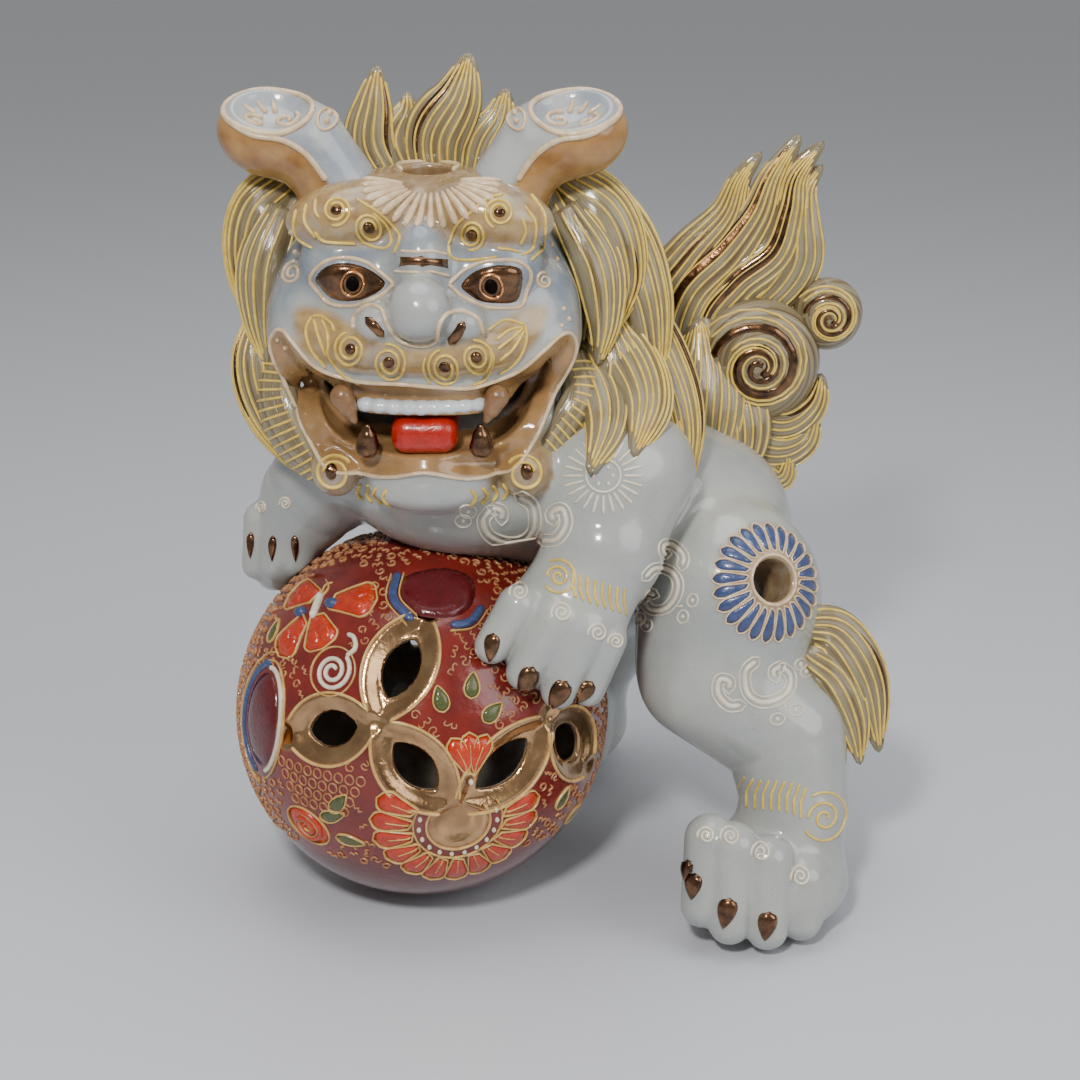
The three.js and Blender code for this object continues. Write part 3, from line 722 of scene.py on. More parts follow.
class Lock:
    """A lock of hair: an oval, grooved section that swells along a spine and closes to a point."""

    RIDGES = 5
    ROOT = 0.62  # how wide the root is, as a share of the widest place

    def __init__(self, spine, half_width, thickness, across):
        fine = curve_through(spine, 24)
        length = np.concatenate([[0], np.cumsum(np.linalg.norm(np.diff(fine, axis=0), axis=1))])
        rings = int(length[-1] / (1.2)) + 4
        self.t = np.linspace(0, 1, rings)
        self.length = length[-1]
        self.middle = np.stack([np.interp(self.t * length[-1], length, fine[:, i]) for i in range(3)], axis=1)
        tangent = unit(np.gradient(self.middle, axis=0))
        flat = np.broadcast_to(unit(across), tangent.shape)
        self.side = unit(np.cross(flat, tangent))
        self.out = np.cross(tangent, self.side)
        belly = np.sin(np.pi * np.minimum(self.t * 1.1, 1))
        swell = (self.ROOT + (1 - self.ROOT) * belly) * (1 - self.t**3) ** 0.5
        self.half = half_width * swell
        self.rise = thickness / 2 * np.minimum(swell, 1) * (1 - 0.25 * self.t)

    def place(self, t, c, front=1):
        """Points and normals on the lock's face, at c from -1 to 1 across it."""
        t, c = np.broadcast_arrays(np.asarray(t, dtype=float), np.asarray(c, dtype=float))

        def value(a):
            return np.interp(t, self.t, a)

        def vector(a):
            return np.stack([value(a[:, i]) for i in range(3)], axis=-1)

        half, rise = value(self.half)[..., None], value(self.rise)[..., None]
        side, out = vector(self.side), vector(self.out)
        height = np.sqrt(np.maximum(1 - c**2, 0))
        groove = 0.10 * np.abs(np.sin(np.pi * self.RIDGES * (c + 1) / 2)) * height
        up = front * (height * 0.92 + groove)
        point = vector(self.middle) + side * c[..., None] * half + out * up[..., None] * rise
        slope = side * c[..., None] / half.clip(0.3) + out * front * height[..., None] / rise.clip(0.3)
        return point, unit(slope)

    def mesh(self):
        """Vertices, faces, and how far across and along each vertex is."""
        sides = 48
        angle = np.linspace(0, 2 * np.pi, sides, endpoint=False)
        body = self.t[:-1]
        c, t = np.meshgrid(np.cos(angle), body)
        front = np.where(np.sin(angle) >= 0, 1, -1)
        above, _ = self.place(t, c, 1)
        below, _ = self.place(t, c, -1)
        points = np.where(front[None, :, None] > 0, above, below).reshape(-1, 3)
        points = np.concatenate([points, self.middle[:1], self.middle[-1:]])
        across = np.concatenate([c.ravel(), [0, 0]])
        along = np.concatenate([t.ravel(), [0, 1]]) * self.length
        rings = len(body)
        grid = np.arange(rings * sides).reshape(rings, sides)
        nxt = np.roll(grid, -1, axis=1)
        quads = np.stack([grid[:-1], grid[1:], nxt[1:], nxt[:-1]], axis=-1).reshape(-1, 4)
        start = [[rings * sides, a, b] for a, b in zip(grid[0], nxt[0])]
        end = [[rings * sides + 1, b, a] for a, b in zip(grid[-1], nxt[-1])]
        return points, quads.tolist() + start + end, across, along

    def line(self, c, start, end, front):
        """Points and normals for a line along the lock, at c across it."""
        count = max(6, int(self.length * (end - start) / 1.2))
        t = np.linspace(start, end, count)
        return self.place(t, np.broadcast_to(c, t.shape), front)


def hair_piece(node, locks):
    """Several locks as one piece in the hair glaze."""
    points, faces, across, along, shade = [], [], [], [], []
    total = 0
    for number, lock in enumerate(locks):
        p, f, c, a = lock.mesh()
        points.append(p)
        faces += [[v + total for v in face] for face in f]
        total += len(p)
        across.append(c * np.max(lock.half) + 37 * number)
        along.append(a)
        shade.append(np.full(len(p), (number * 0.37) % 1))
    masks = {
        "across": np.concatenate(across),
        "along": np.concatenate(along),
        "shade": np.concatenate(shade),
    }
    piece = make_mesh(node + "_locks", np.concatenate(points), faces, None, masks)
    dress(piece, HAIR, "hair_glaze", node)


# ---------------------------------------------------------------- raised enamel


class Beads:
    """Strokes of raised enamel of one colour, as one piece."""

    SECTION = np.radians([0, 32, 64, 90, 116, 148, 180])
    SINK = 0.35  # how far a stroke is bedded in the glaze

    def __init__(self, name, material, slot):
        self.name, self.material, self.slot = name, material, slot
        self.points, self.faces, self.count = [], [], 0

    def stroke(self, points, normals, width, height, shape="line"):
        """Lays one stroke. width is across the middle, and shape says how it swells."""
        points, normals = np.asarray(points, dtype=float), np.asarray(normals, dtype=float)
        length = np.concatenate([[0], np.cumsum(np.linalg.norm(np.diff(points, axis=0), axis=1))])
        if length[-1] < 0.3:
            return
        spacing = max(0.6, width * 0.4) * 1
        count = max(7, int(length[-1] / spacing) + 1)
        s = np.linspace(0, length[-1], count)
        points = np.stack([np.interp(s, length, points[:, i]) for i in range(3)], axis=1)
        normals = unit(np.stack([np.interp(s, length, normals[:, i]) for i in range(3)], axis=1))
        t = s / length[-1]
        if shape == "leaf":
            swell = np.sin(np.pi * np.clip(t, 0.02, 0.98)) ** 0.8
        elif shape == "petal":
            swell = (0.34 + 0.66 * t**0.8) * np.sqrt(1 - ((t - 0.5) / 0.5).clip(0) ** 6).clip(0.1)
        else:
            end = np.minimum(s, length[-1] - s) / max(width * 0.5, 0.1)
            swell = np.sqrt(1 - (1 - end.clip(0, 1)) ** 2).clip(0.25)
        tangent = unit(np.gradient(points, axis=0))
        side = unit(np.cross(tangent, normals))
        half = (width / 2 * swell)[:, None, None]
        rise = (height * swell**0.5)[:, None, None]
        cos, sin = np.cos(self.SECTION)[None, :, None], np.sin(self.SECTION)[None, :, None]
        ring = points[:, None] + side[:, None] * cos * half + normals[:, None] * sin * rise
        bed = points[:, None] + side[:, None] * half * np.array([-0.8, 0.8])[None, :, None]
        bed = bed - normals[:, None] * self.SINK
        ring = np.concatenate([ring, bed], axis=1)
        sides = ring.shape[1]
        caps = np.stack([points[0], points[-1]])
        grid = np.arange(count * sides).reshape(count, sides) + self.count
        nxt = np.roll(grid, -1, axis=1)
        quads = np.stack([grid[:-1], nxt[:-1], nxt[1:], grid[1:]], axis=-1).reshape(-1, 4)
        first, last = self.count + count * sides, self.count + count * sides + 1
        self.faces += quads.tolist()
        self.faces += [[first, b, a] for a, b in zip(grid[0], nxt[0])]
        self.faces += [[last, a, b] for a, b in zip(grid[-1], nxt[-1])]
        self.points += [ring.reshape(-1, 3), caps]
        self.count += count * sides + 2

    def patch(self, canvas, outline, height, rings=5):
        """Lays a filled, domed patch of enamel inside a drawn outline."""
        outline = np.asarray(outline, dtype=float)
        centre = outline.mean(axis=0)
        rows = [canvas.find(outline, -self.SINK)]
        for ring in range(rings):
            share = 1 - ring / rings
            rows.append(canvas.find(centre + (outline - centre) * share, height * (1 - share**4) ** 0.5))
        rows.append(canvas.find(centre[None], height))
        rows.append(canvas.find(centre[None], -self.SINK))
        sides, loops = len(outline), rings + 1
        grid = np.arange(loops * sides).reshape(loops, sides) + self.count
        nxt = np.roll(grid, -1, axis=1)
        top, under = self.count + loops * sides, self.count + loops * sides + 1
        quads = np.stack([grid[:-1], nxt[:-1], nxt[1:], grid[1:]], axis=-1).reshape(-1, 4)
        faces = quads.tolist()
        faces += [[top, a, b] for a, b in zip(grid[-1], nxt[-1])]
        faces += [[under, b, a] for a, b in zip(grid[0], nxt[0])]
        edges = np.roll(outline, -1, axis=0)
        area = (outline[:, 0] * edges[:, 1] - edges[:, 0] * outline[:, 1]).sum()
        self.faces += faces if area > 0 else [face[::-1] for face in faces]
        self.points += rows
        self.count += loops * sides + 2

    def finish(self):
        piece = make_mesh(self.name, np.concatenate(self.points), self.faces)
        dress(piece, self.material, self.slot)


class Canvas:
    """A flat sheet of paper held to a surface: what is drawn on it is pressed onto the surface."""

    def __init__(self, tree, origin, normal, up=(0, 0, 1), reach=26):
        self.tree, self.normal, self.reach = tree, unit(normal), reach
        self.origin = np.asarray(origin, dtype=float)
        self.right = unit(np.cross(up, self.normal))
        self.up = np.cross(self.normal, self.right)

    def cast_down(self, u, v):
        """Where a ray starts for a drawn point, and what it hits: a place and a normal, or None."""
        start = self.origin + self.right * u + self.up * v + self.normal * self.reach
        hit, normal, _, _ = self.tree.ray_cast(Vector(start), Vector(-self.normal), 2.2 * self.reach)
        return start, hit, normal

    def press(self, drawn):
        """Points and normals on the surface under the drawn points; misses are left out."""
        points, normals = [], []
        for u, v in drawn:
            _, hit, normal = self.cast_down(u, v)
            if hit is not None:
                points.append(hit)
                normals.append(normal)
        return np.array(points), np.array(normals)

    def find(self, drawn, lift):
        """A point lifted off the surface for every drawn point, the nearest one where it misses."""
        found = []
        for u, v in drawn:
            start, hit, normal = self.cast_down(u, v)
            if hit is None:
                hit, normal, _, _ = self.tree.find_nearest(Vector(start - self.normal * self.reach))
            found.append(np.array(hit) + lift * np.array(normal))
        return np.array(found)

    def draw(self, beads, drawn, width, height, shape="line"):
        points, normals = self.press(drawn)
        if len(points) > 1:
            beads.stroke(points, normals, width, height, shape)

    def dot(self, beads, u, v, size, height):
        self.draw(beads, [(u - size * 0.3, v), (u, v), (u + size * 0.3, v)], size, height)


# ---------------------------------------------------------------- materials


class Look:
    """A material built from nodes, round one Principled shader."""

    def __init__(self, name, **sockets):
        self.material = bpy.data.materials.new(name)
        self.material.use_nodes = True
        self.tree = self.material.node_tree
        self.shader = self.tree.nodes["Principled BSDF"]
        self.coordinates = self.tree.nodes.new("ShaderNodeTexCoord").outputs["Object"]
        for socket, value in sockets.items():
            self.shader.inputs[socket.replace("_", " ")].default_value = value

    def link(self, source, target):
        if isinstance(source, (int, float)):
            target.default_value = source
        elif isinstance(source, tuple):
            target.default_value = (*source, 1.0)
        else:
            self.tree.links.new(source, target)

    def mask(self, name):
        node = self.tree.nodes.new("ShaderNodeAttribute")
        node.attribute_name = name
        return node.outputs["Fac"]

    def noise(self, scale, detail=3.0, low=0.35, high=0.65, vector=None, roughness=0.55):
        """Noise from 0 to 1. scale is in blotches per metre."""
        node = self.tree.nodes.new("ShaderNodeTexNoise")
        node.inputs["Scale"].default_value = scale
        node.inputs["Detail"].default_value = detail
        node.inputs["Roughness"].default_value = roughness
        self.link(vector or self.coordinates, node.inputs["Vector"])
        return self.span(node.outputs["Fac"], low, high, 0.0, 1.0)

    def span(self, value, low, high, to_low, to_high):
        node = self.tree.nodes.new("ShaderNodeMapRange")
        for socket, v in zip(("From Min", "From Max", "To Min", "To Max"), (low, high, to_low, to_high)):
            node.inputs[socket].default_value = v
        self.link(value, node.inputs["Value"])
        return node.outputs["Result"]

    def math(self, operation, a, b):
        node = self.tree.nodes.new("ShaderNodeMath")
        node.operation = operation
        self.link(a, node.inputs[0])
        self.link(b, node.inputs[1])
        return node.outputs[0]

    def vector(self, x, y, z):
        node = self.tree.nodes.new("ShaderNodeCombineXYZ")
        for value, socket in zip((x, y, z), node.inputs):
            self.link(value, socket)
        return node.outputs[0]

    def mix(self, factor, a, b):
        node = self.tree.nodes.new("ShaderNodeMix")
        node.data_type = "RGBA"
        self.link(factor, node.inputs["Factor"])
        self.link(a, node.inputs[6])
        self.link(b, node.inputs[7])
        return node.outputs[2]

    def bump(self, height, strength, distance):
        node = self.tree.nodes.new("ShaderNodeBump")
        node.inputs["Strength"].default_value = strength
        node.inputs["Distance"].default_value = distance
        self.link(height, node.inputs["Height"])
        self.link(node.outputs["Normal"], self.shader.inputs["Normal"])

    def finish(self, colour=None, roughness=None, metallic=None):
        for value, socket in ((colour, "Base Color"), (roughness, "Roughness"), (metallic, "Metallic")):
            if value is not None:
                self.link(value, self.shader.inputs[socket])
        return self.material


WHITE = (0.385, 0.395, 0.37)
COOL_WHITE = (0.30, 0.32, 0.315)
AIRBRUSH = (0.13, 0.17, 0.235)
TAN = (0.40, 0.27, 0.11)
DARK_TAN = (0.23, 0.13, 0.05)
LIP = (0.34, 0.19, 0.075)
# Painted shade for the walls inside the mouth and the hollow head.
INSIDE_SHADE = (0.17, 0.17, 0.16)
DEEP_INSIDE_SHADE = (0.075, 0.06, 0.045)
# Brown for the painted shade in the creases, also used for the darker bottom and the brown round the crown
# hole.
STAIN_AND_SHADE = (0.20, 0.12, 0.06)
SPECK = (0.08, 0.07, 0.06)


def porcelain_look():
    look = Look("porcelain_glaze", Coat_Weight=0.35, Coat_Roughness=0.03, IOR=1.5)
    ground = look.mix(look.noise(38, 3), WHITE, COOL_WHITE)
    ground = look.mix(look.math("MULTIPLY", look.noise(2600, 1, 0.70, 0.74), 0.5), ground, SPECK)
    blue = look.math("MULTIPLY", look.mask("blue"), look.noise(160, 4, 0.2, 0.62))
    ground = look.mix(look.math("MULTIPLY", blue, 0.85), ground, AIRBRUSH)
    tan = look.mix(look.noise(210, 5, 0.35, 0.7), TAN, DARK_TAN)
    ground = look.mix(look.math("MULTIPLY", look.mask("tan"), look.noise(120, 4, 0.1, 0.5)), ground, tan)
    lip = look.mix(look.noise(180, 5, 0.35, 0.7), LIP, DARK_TAN)
    ground = look.mix(look.mask("lip"), ground, lip)
    # Painted shade: the inside of the head is mixed from dark grey and brown-black.
    ground = look.mix(look.mask("inside"), ground, look.mix(look.noise(70, 4), INSIDE_SHADE, DEEP_INSIDE_SHADE))
    # Painted shade in the creases, with the darker bottom and the brown at the crown, mixed into the glaze.
    stain_and_shade = look.math("MULTIPLY", look.mask("stain_and_shade"), look.noise(240, 5, 0.25, 0.6))
    ground = look.mix(stain_and_shade, ground, STAIN_AND_SHADE)
    swelling = look.noise(55, 2, 0, 1)
    pitting = look.math("MULTIPLY", look.noise(520, 2, 0, 1), 0.12)
    look.bump(look.math("ADD", swelling, pitting), 0.35, 0.0012)
    roughness = look.span(look.math("MAXIMUM", look.mask("stain_and_shade"), look.noise(90, 3)), 0, 1, 0.10, 0.24)
    return look.finish(ground, roughness)


def ball_look():
    look = Look("red_glaze", Coat_Weight=0.4, Coat_Roughness=0.04, IOR=1.5)
    red = look.mix(look.noise(130, 5), (0.185, 0.013, 0.007), (0.12, 0.008, 0.006))
    low_red = look.mix(look.noise(90, 4), (0.125, 0.008, 0.008), (0.085, 0.004, 0.005))
    red = look.mix(look.mask("low"), red, low_red)
    gilt = look.mix(look.noise(120, 4, 0.3, 0.7), (0.60, 0.36, 0.17), (0.30, 0.165, 0.075))
    colour = look.mix(look.mask("gilt"), red, gilt)
    bare = look.mix(look.noise(80, 4), (0.30, 0.27, 0.23), (0.17, 0.11, 0.07))
    colour = look.mix(look.mask("inside"), colour, bare)
    colour = look.mix(look.mask("foot"), colour, (0.42, 0.35, 0.27))
    metal = look.math("MULTIPLY", look.mask("gilt"), look.math("SUBTRACT", 1.0, look.mask("inside")))
    look.bump(look.noise(420, 3, 0, 1), 0.3, 0.0005)
    roughness = look.span(look.mask("foot"), 0, 1, 0.13, 0.8)
    wear = look.math("MULTIPLY", look.noise(200, 4), 0.12)
    return look.finish(colour, look.math("ADD", roughness, wear), metal)


def hair_look():
    """Streaks that run along each lock, between pale slip and brown."""
    look = Look("hair_glaze", Coat_Weight=0.35, Coat_Roughness=0.04, IOR=1.5)
    across = look.math("MULTIPLY", look.mask("across"), 0.34)
    along = look.math("MULTIPLY", look.mask("along"), 0.012)
    flow = look.vector(across, along, look.mask("shade"))
    streak = look.noise(1.9, 4, 0.36, 0.66, flow, 0.65)
    fine = look.noise(5.5, 3, 0.3, 0.7, flow)
    brown = look.mix(fine, (0.165, 0.11, 0.04), (0.075, 0.045, 0.017))
    colour = look.mix(streak, brown, (0.29, 0.255, 0.16))
    look.bump(fine, 0.35, 0.0006)
    return look.finish(colour, look.span(fine, 0, 1, 0.12, 0.24))


def lustre_look(name, bright, dark):
    look = Look(name, Metallic=1.0, Coat_Weight=0.5, Coat_Roughness=0.05)
    colour = look.mix(look.noise(300, 5, 0.3, 0.7), bright, dark)
    look.bump(look.noise(700, 3, 0, 1), 0.25, 0.0004)
    return look.finish(colour, look.span(look.noise(380, 4), 0, 1, 0.12, 0.30))


def enamel_look(name, colour, shade, roughness=0.2, coat=0.3, ior=1.5):
    """A bead of enamel: its colour thins and darkens in spots, and its surface is a little uneven."""
    look = Look(name, Coat_Weight=coat, Coat_Roughness=0.06, IOR=ior)
    look.bump(look.noise(900, 3, 0, 1), 0.4, 0.0004)
    mixed = look.mix(look.noise(330, 5, 0.3, 0.75), colour, shade)
    return look.finish(mixed, look.span(look.noise(600, 3), 0, 1, roughness, roughness + 0.18))


def ear_look():
    """Pale glaze in the hollow on top of an ear, amber under it."""
    look = Look("ear_glaze", Coat_Weight=0.35, Coat_Roughness=0.03, IOR=1.5)
    pale = look.mix(look.noise(90, 3), (0.40, 0.415, 0.415), (0.26, 0.295, 0.34))
    amber = look.mix(look.noise(150, 5, 0.3, 0.7), (0.42, 0.235, 0.075), (0.25, 0.115, 0.035))
    look.bump(look.noise(300, 3, 0, 1), 0.25, 0.0006)
    colour = look.mix(look.mask("under"), pale, amber)
    return look.finish(colour, look.span(look.noise(120, 3), 0, 1, 0.12, 0.26))


# ---------------------------------------------------------------- the pieces

PORCELAIN = porcelain_look()
BALL_GLAZE = ball_look()
HAIR = hair_look()
LUSTRE = lustre_look("bronze_lustre", (0.24, 0.115, 0.048), (0.055, 0.028, 0.016))
# Bright copper for the ring round each pupil: a painted glint.
COPPER_GLINT = lustre_look("copper_glint_lustre", (0.90, 0.45, 0.20), (0.40, 0.17, 0.06))
EAR_GLAZE = ear_look()
CREAM = enamel_look("cream_enamel", (0.70, 0.55, 0.36), (0.48, 0.32, 0.17))
WHITE_ENAMEL = enamel_look("white_enamel", (0.74, 0.68, 0.56), (0.56, 0.48, 0.35))
YELLOW = enamel_look("yellow_enamel", (0.78, 0.56, 0.11), (0.50, 0.33, 0.06))
BLUE = enamel_look("blue_enamel", (0.045, 0.075, 0.20), (0.03, 0.045, 0.12))
ORANGE = enamel_look("orange_enamel", (0.52, 0.036, 0.004), (0.34, 0.015, 0.004), 0.14)
GREEN = enamel_look("green_enamel", (0.045, 0.07, 0.018), (0.09, 0.085, 0.02), 0.14)
MAROON = enamel_look("maroon_enamel", (0.11, 0.006, 0.009), (0.07, 0.004, 0.006), 0.10)
BALL_LINE = enamel_look("ball_line_enamel", (0.62, 0.42, 0.14), (0.42, 0.22, 0.06))
SCRIBBLE = enamel_look("scribble_enamel", (0.46, 0.22, 0.09), (0.30, 0.11, 0.04))
TONGUE_RED = enamel_look("tongue_enamel", (0.42, 0.010, 0.001), (0.28, 0.005, 0.001), 0.2)
TAN_GLAZE = enamel_look("tan_glaze", (0.26, 0.14, 0.06), (0.15, 0.07, 0.03), 0.2)
TOOTH = enamel_look("tooth_glaze", (0.60, 0.63, 0.64), (0.47, 0.52, 0.56), 0.12)
PUPIL = enamel_look("dark_glaze", (0.003, 0.002, 0.002), (0.005, 0.003, 0.002), 0.3, 0.0, 1.12)

body_points, body_normals, body_faces, owner, order, hollow = body_surface()
masks = body_masks(body_points, hollow, owner == order.index("head_shell"))
BODY_TREE = BVHTree.FromPolygons(body_points.tolist(), body_faces.tolist())
face_owner = owner[body_faces].max(axis=1)
for number, node in enumerate(order):
    own = body_faces[face_owner == number]
    skin = skin_piece(node + "_skin", body_points, body_normals, own, masks)
    dress(skin, PORCELAIN, "white_glaze", node)

ball_points, ball_normals, ball_faces, ball_masks = ball_surface()
ball = make_mesh("openwork_ball", ball_points, ball_faces, ball_normals, ball_masks)
dress(ball, BALL_GLAZE, "red_glaze", "ball_lower_half", "ball_upper_half")

EAR_BLOCK = np.array([29, 19, 26])  # half the block of space an ear is cast in
EAR_TREES = {}
for node, side in (("ear_right", -1), ("ear_left", 1)):
    centre = at(HEAD, side * 36, -1, 49)
    v, n, f = cast(centre - EAR_BLOCK, centre + EAR_BLOCK, lambda p: ear_form(p, side))
    x, y, z = (v - HEAD).T
    high = np.interp(np.abs(x), EAR_OUT, EAR_HIGH)
    under = 1 - ramp(z - high, -0.7, 0.7)
    EAR_TREES[side] = BVHTree.FromPolygons(v.tolist(), f.tolist())
    piece = make_mesh(node + "_casting", v, f, n, {"under": under})
    dress(piece, EAR_GLAZE, "white_glaze", node)


# ---------------------------------------------------------------- hair

def mirrored(side, *points):
    return [(side * x, y, z) for x, y, z in points]


def lock(place, spine, half_width, thickness, across):
    return Lock([at(place, *p) for p in spine], half_width, thickness, across)


def face_locks(side, reach):
    """The mane beside the face: an outer fall, an inner one, and the curls under the cheek."""
    out = (side, -0.9, 0.2)
    little, half_way, most = reach * 0.4, reach * 0.5, reach * 0.6
    spines = [
        ([(35, 9, 38), (46 + half_way, 5, 28), (49 + reach, 2, 11), (46 + reach, 0, -4)], 9, 15),
        ([(38, 0, 30), (44 + little, -4, 16), (45 + most, -7, 1), (43 + most, -9, -12)], 8, 13),
        ([(44 + most, 3, 0), (47 + reach, -2, -13), (43 + reach, -6, -28), (33 + half_way, -9, -44)], 9, 14),
        ([(40, -6, -9), (40 + little, -12, -21), (34, -17, -33), (23, -20, -45)], 8, 11),
        ([(33, 7, 34), (40, 5, 20), (42, 3, 4), (41, 1, -12), (39, -1, -24)], 9, 13),
    ]
    return [lock(HEAD, mirrored(side, *s), half, thick, out) for s, half, thick in spines]



def back_spine(x):
    """A fall down the back of the head, x to the side of its middle."""
    near = abs(x) * 0.25
    return [
        (x * 0.62, 15, 38), (x, 31 - near, 22), (x + 3, 40 - abs(x) * 0.3, 0),
        (x * 0.9 + 9, 43 - near, -22), (x * 0.7 + 15, 42, -37),
    ]


ACROSS_TAIL = (0, -1, 0)  # the tail's and the crest's locks lie flat to the front
HAIR_NODES = {
    "mane_right": face_locks(-1, 0),
    "mane_left": face_locks(1, 6),
    "mane_cape": [
        lock(HEAD, [(38, 14, 36), (52, 12, 22), (60, 8, 4), (63, 5, -14), (64, 2, -24)],
             11, 18, (1, -0.7, 0.2)),
        lock(HEAD, [(53, 16, 6), (64, 12, -14), (71, 5, -34), (70, 0, -57)], 11, 16, (1, -0.7, 0.2)),
        lock(HEAD, [(50, 6, -4), (58, 2, -18), (65, -4, -36), (66, -8, -56)], 9, 14, (1, -0.8, 0.2)),
        lock(HEAD, [(45, 6, 0), (55, 0, -11), (60, -11, -22), (56, -24, -33)], 10, 14, (0.6, -0.7, 0.6)),
        lock(HEAD, [(42, 0, -9), (48, -9, -19), (49, -19, -27), (44, -29, -36)], 8, 12, (0.4, -0.8, 0.6)),
    ],
    "mane_back": [lock(HEAD, back_spine(x), 10, 17, (0, 1, 0.3)) for x in (-29, -16, -3, 10, 23)],
    "crest_flame_tall": [
        lock(HEAD, [(4, 11, 34), (3, 11, 47), (9, 11, 58), (12.3, 11, 69.5)], 9.5, 11, ACROSS_TAIL),
        lock(HEAD, [(13, 12, 34), (16, 12, 45), (20, 12, 52), (22, 12, 60)], 7, 9, ACROSS_TAIL),
    ],
    "crest_flame_short": [
        lock(HEAD, [(-9, 12, 34), (-15, 12, 45), (-14, 12, 56), (-12.5, 12, 66)], 7.5, 10, ACROSS_TAIL),
        lock(HEAD, [(-4, 13, 36), (-8, 13, 46), (-5, 13, 54), (-5, 13, 59)], 6, 8, ACROSS_TAIL),
    ],
    "crest_flame_low": [
        lock(HEAD, [(14, 13, 34), (21, 14, 44), (29, 14, 50), (38, 13, 53)], 8, 10, (0, -1, 0.2)),
    ],
    "tail_root": [
        lock(RUMP, [(2, 6, 18), (2, 8, 32), (3, 12, 48), (2, 14, 62)], 15, 16, ACROSS_TAIL),
        lock(RUMP, [(12, 8, 16), (12, 10, 28), (10, 14, 40), (8, 14, 52)], 13, 15, ACROSS_TAIL),
    ],
    "tail_plume": [
        lock(SCROLL, [(-20, 3, -16), (-32, 4, 4), (-31, 4, 20), (-22, 4, 34), (-12, 4, 46),
                      (-8, 4, 57), (-2, 4, 65)], 9.5, 14, ACROSS_TAIL),
        lock(SCROLL, [(-14, 3, -12), (-24, 4, 6), (-21, 4, 22), (-10, 4, 34), (-2, 4, 46),
                      (2, 4, 58), (9, 4, 70)], 10.5, 16, ACROSS_TAIL),
        lock(SCROLL, [(-10, 4, -4), (-17, 4, 14), (-9, 4, 27), (2, 4, 36), (6, 4, 48),
                      (8, 4, 58), (16, 4, 68)], 9.5, 15, ACROSS_TAIL),
        lock(SCROLL, [(-4, 5, 16), (5, 5, 24), (10, 5, 33), (10, 5, 45), (11, 5, 54), (16, 5, 61)],
             8, 13, ACROSS_TAIL),
    ],
    "tail_lower_lock": [
        lock(SCROLL, [(-8, 2, -10), (6, 1, -15), (15, 1, -10), (18, 1, -1)], 9, 13, ACROSS_TAIL),
        lock(SCROLL, [(-14, 1, -14), (2, 0, -24), (13, 0, -22), (17, 0, -12)], 8, 12, ACROSS_TAIL),
        lock(SCROLL, [(-18, 1, -12), (-8, -1, -26), (6, -2, -33), (9, -3, -24)], 8, 12, ACROSS_TAIL),
        lock(SCROLL, [(-20, 1, -8), (-19, -2, -24), (-9, -4, -38), (2, -5, -44)], 8, 12, ACROSS_TAIL),
    ],
    "hock_tuft_left": [
        lock(FOOT_LEFT, [(12, 24, 70), (22, 23, 68), (31, 20, 54), (36, 18, 32)], 8, 9, (0.4, -1, 0)),
        lock(FOOT_LEFT, [(13, 21, 62), (21, 18, 56), (27, 15, 44), (30, 14, 30)], 6.5, 8, (0.4, -1, 0)),
    ],
    "hock_tuft_right": [
        lock(FOOT_RIGHT, [(28, 4, 68), (36, 12, 64), (42, 17, 48), (43, 18, 34)], 8, 9, (1, -0.5, 0)),
        lock(FOOT_RIGHT, [(28, 8, 60), (34, 15, 54), (38, 20, 42), (38, 21, 32)], 6.5, 8, (1, -0.5, 0)),
    ],
}
for node, locks in HAIR_NODES.items():
    hair_piece(node, locks)


SCROLLS = {
    "tail_scroll_large": (SCROLL + [-2, -1, 3.5], (19, 10, 19)),
    "tail_scroll_small": (SCROLL + [19, 2, 17], (10.5, 8, 11)),
}
SCROLL_TREES = {}
for node, (centre, radii) in SCROLLS.items():
    block = np.array(radii) + 2
    v, n, f = cast(centre - block, centre + block, lambda p: egg(p, centre, radii))
    away = np.hypot(v[:, 0] - centre[0], v[:, 2] - centre[2])
    turn = np.arctan2(v[:, 2] - centre[2], v[:, 0] - centre[0])
    SCROLL_TREES[node] = BVHTree.FromPolygons(v.tolist(), f.tolist())
    masks = {"across": away * 1.6 + turn * 2.0, "along": turn * 8, "shade": np.full(len(v), 0.4)}
    piece = make_mesh(node + "_disc", v, f, n, masks)
    dress(piece, HAIR, "hair_glaze", node)


# ---------------------------------------------------------------- the mouth

TONGUE = at(HEAD, 0.5, -22, -24.6)


def tongue_form(p):
    """A round-edged block with a shallow groove along the top."""
    q = [np.abs(p[i] - TONGUE[i]) - (4.6, 8.0, 0.9)[i] for i in range(3)]
    block = np.sqrt(sum(np.maximum(v, 0) ** 2 for v in q)) - 4.2
    return scooped(2.0, block, egg(p, TONGUE + [0, -6, 8.2], (4, 12, 3)))


v, n, f = cast(TONGUE - [12, 18, 12], TONGUE + [12, 18, 12], tongue_form)
dress(make_mesh("tongue_block", v, f, n), TONGUE_RED, "tongue_glaze", "tongue")


def teeth_form(p):
    base = at(HEAD, 0, -32.5, -16.6)
    row = None
    for number in range(9):
        u = (number - 4) * 3.7
        tooth = egg(p, base + [u, 0.014 * u * u, 0], (2.6, 2.4, 2.1))
        row = tooth if row is None else pressed(1.0, row, tooth)
    return row


v, n, f = cast(at(HEAD, -21, -38, -21), at(HEAD, 21, -26, -9), teeth_form)
dress(make_mesh("upper_teeth_row", v, f, n), TOOTH, "white_glaze", "upper_teeth")

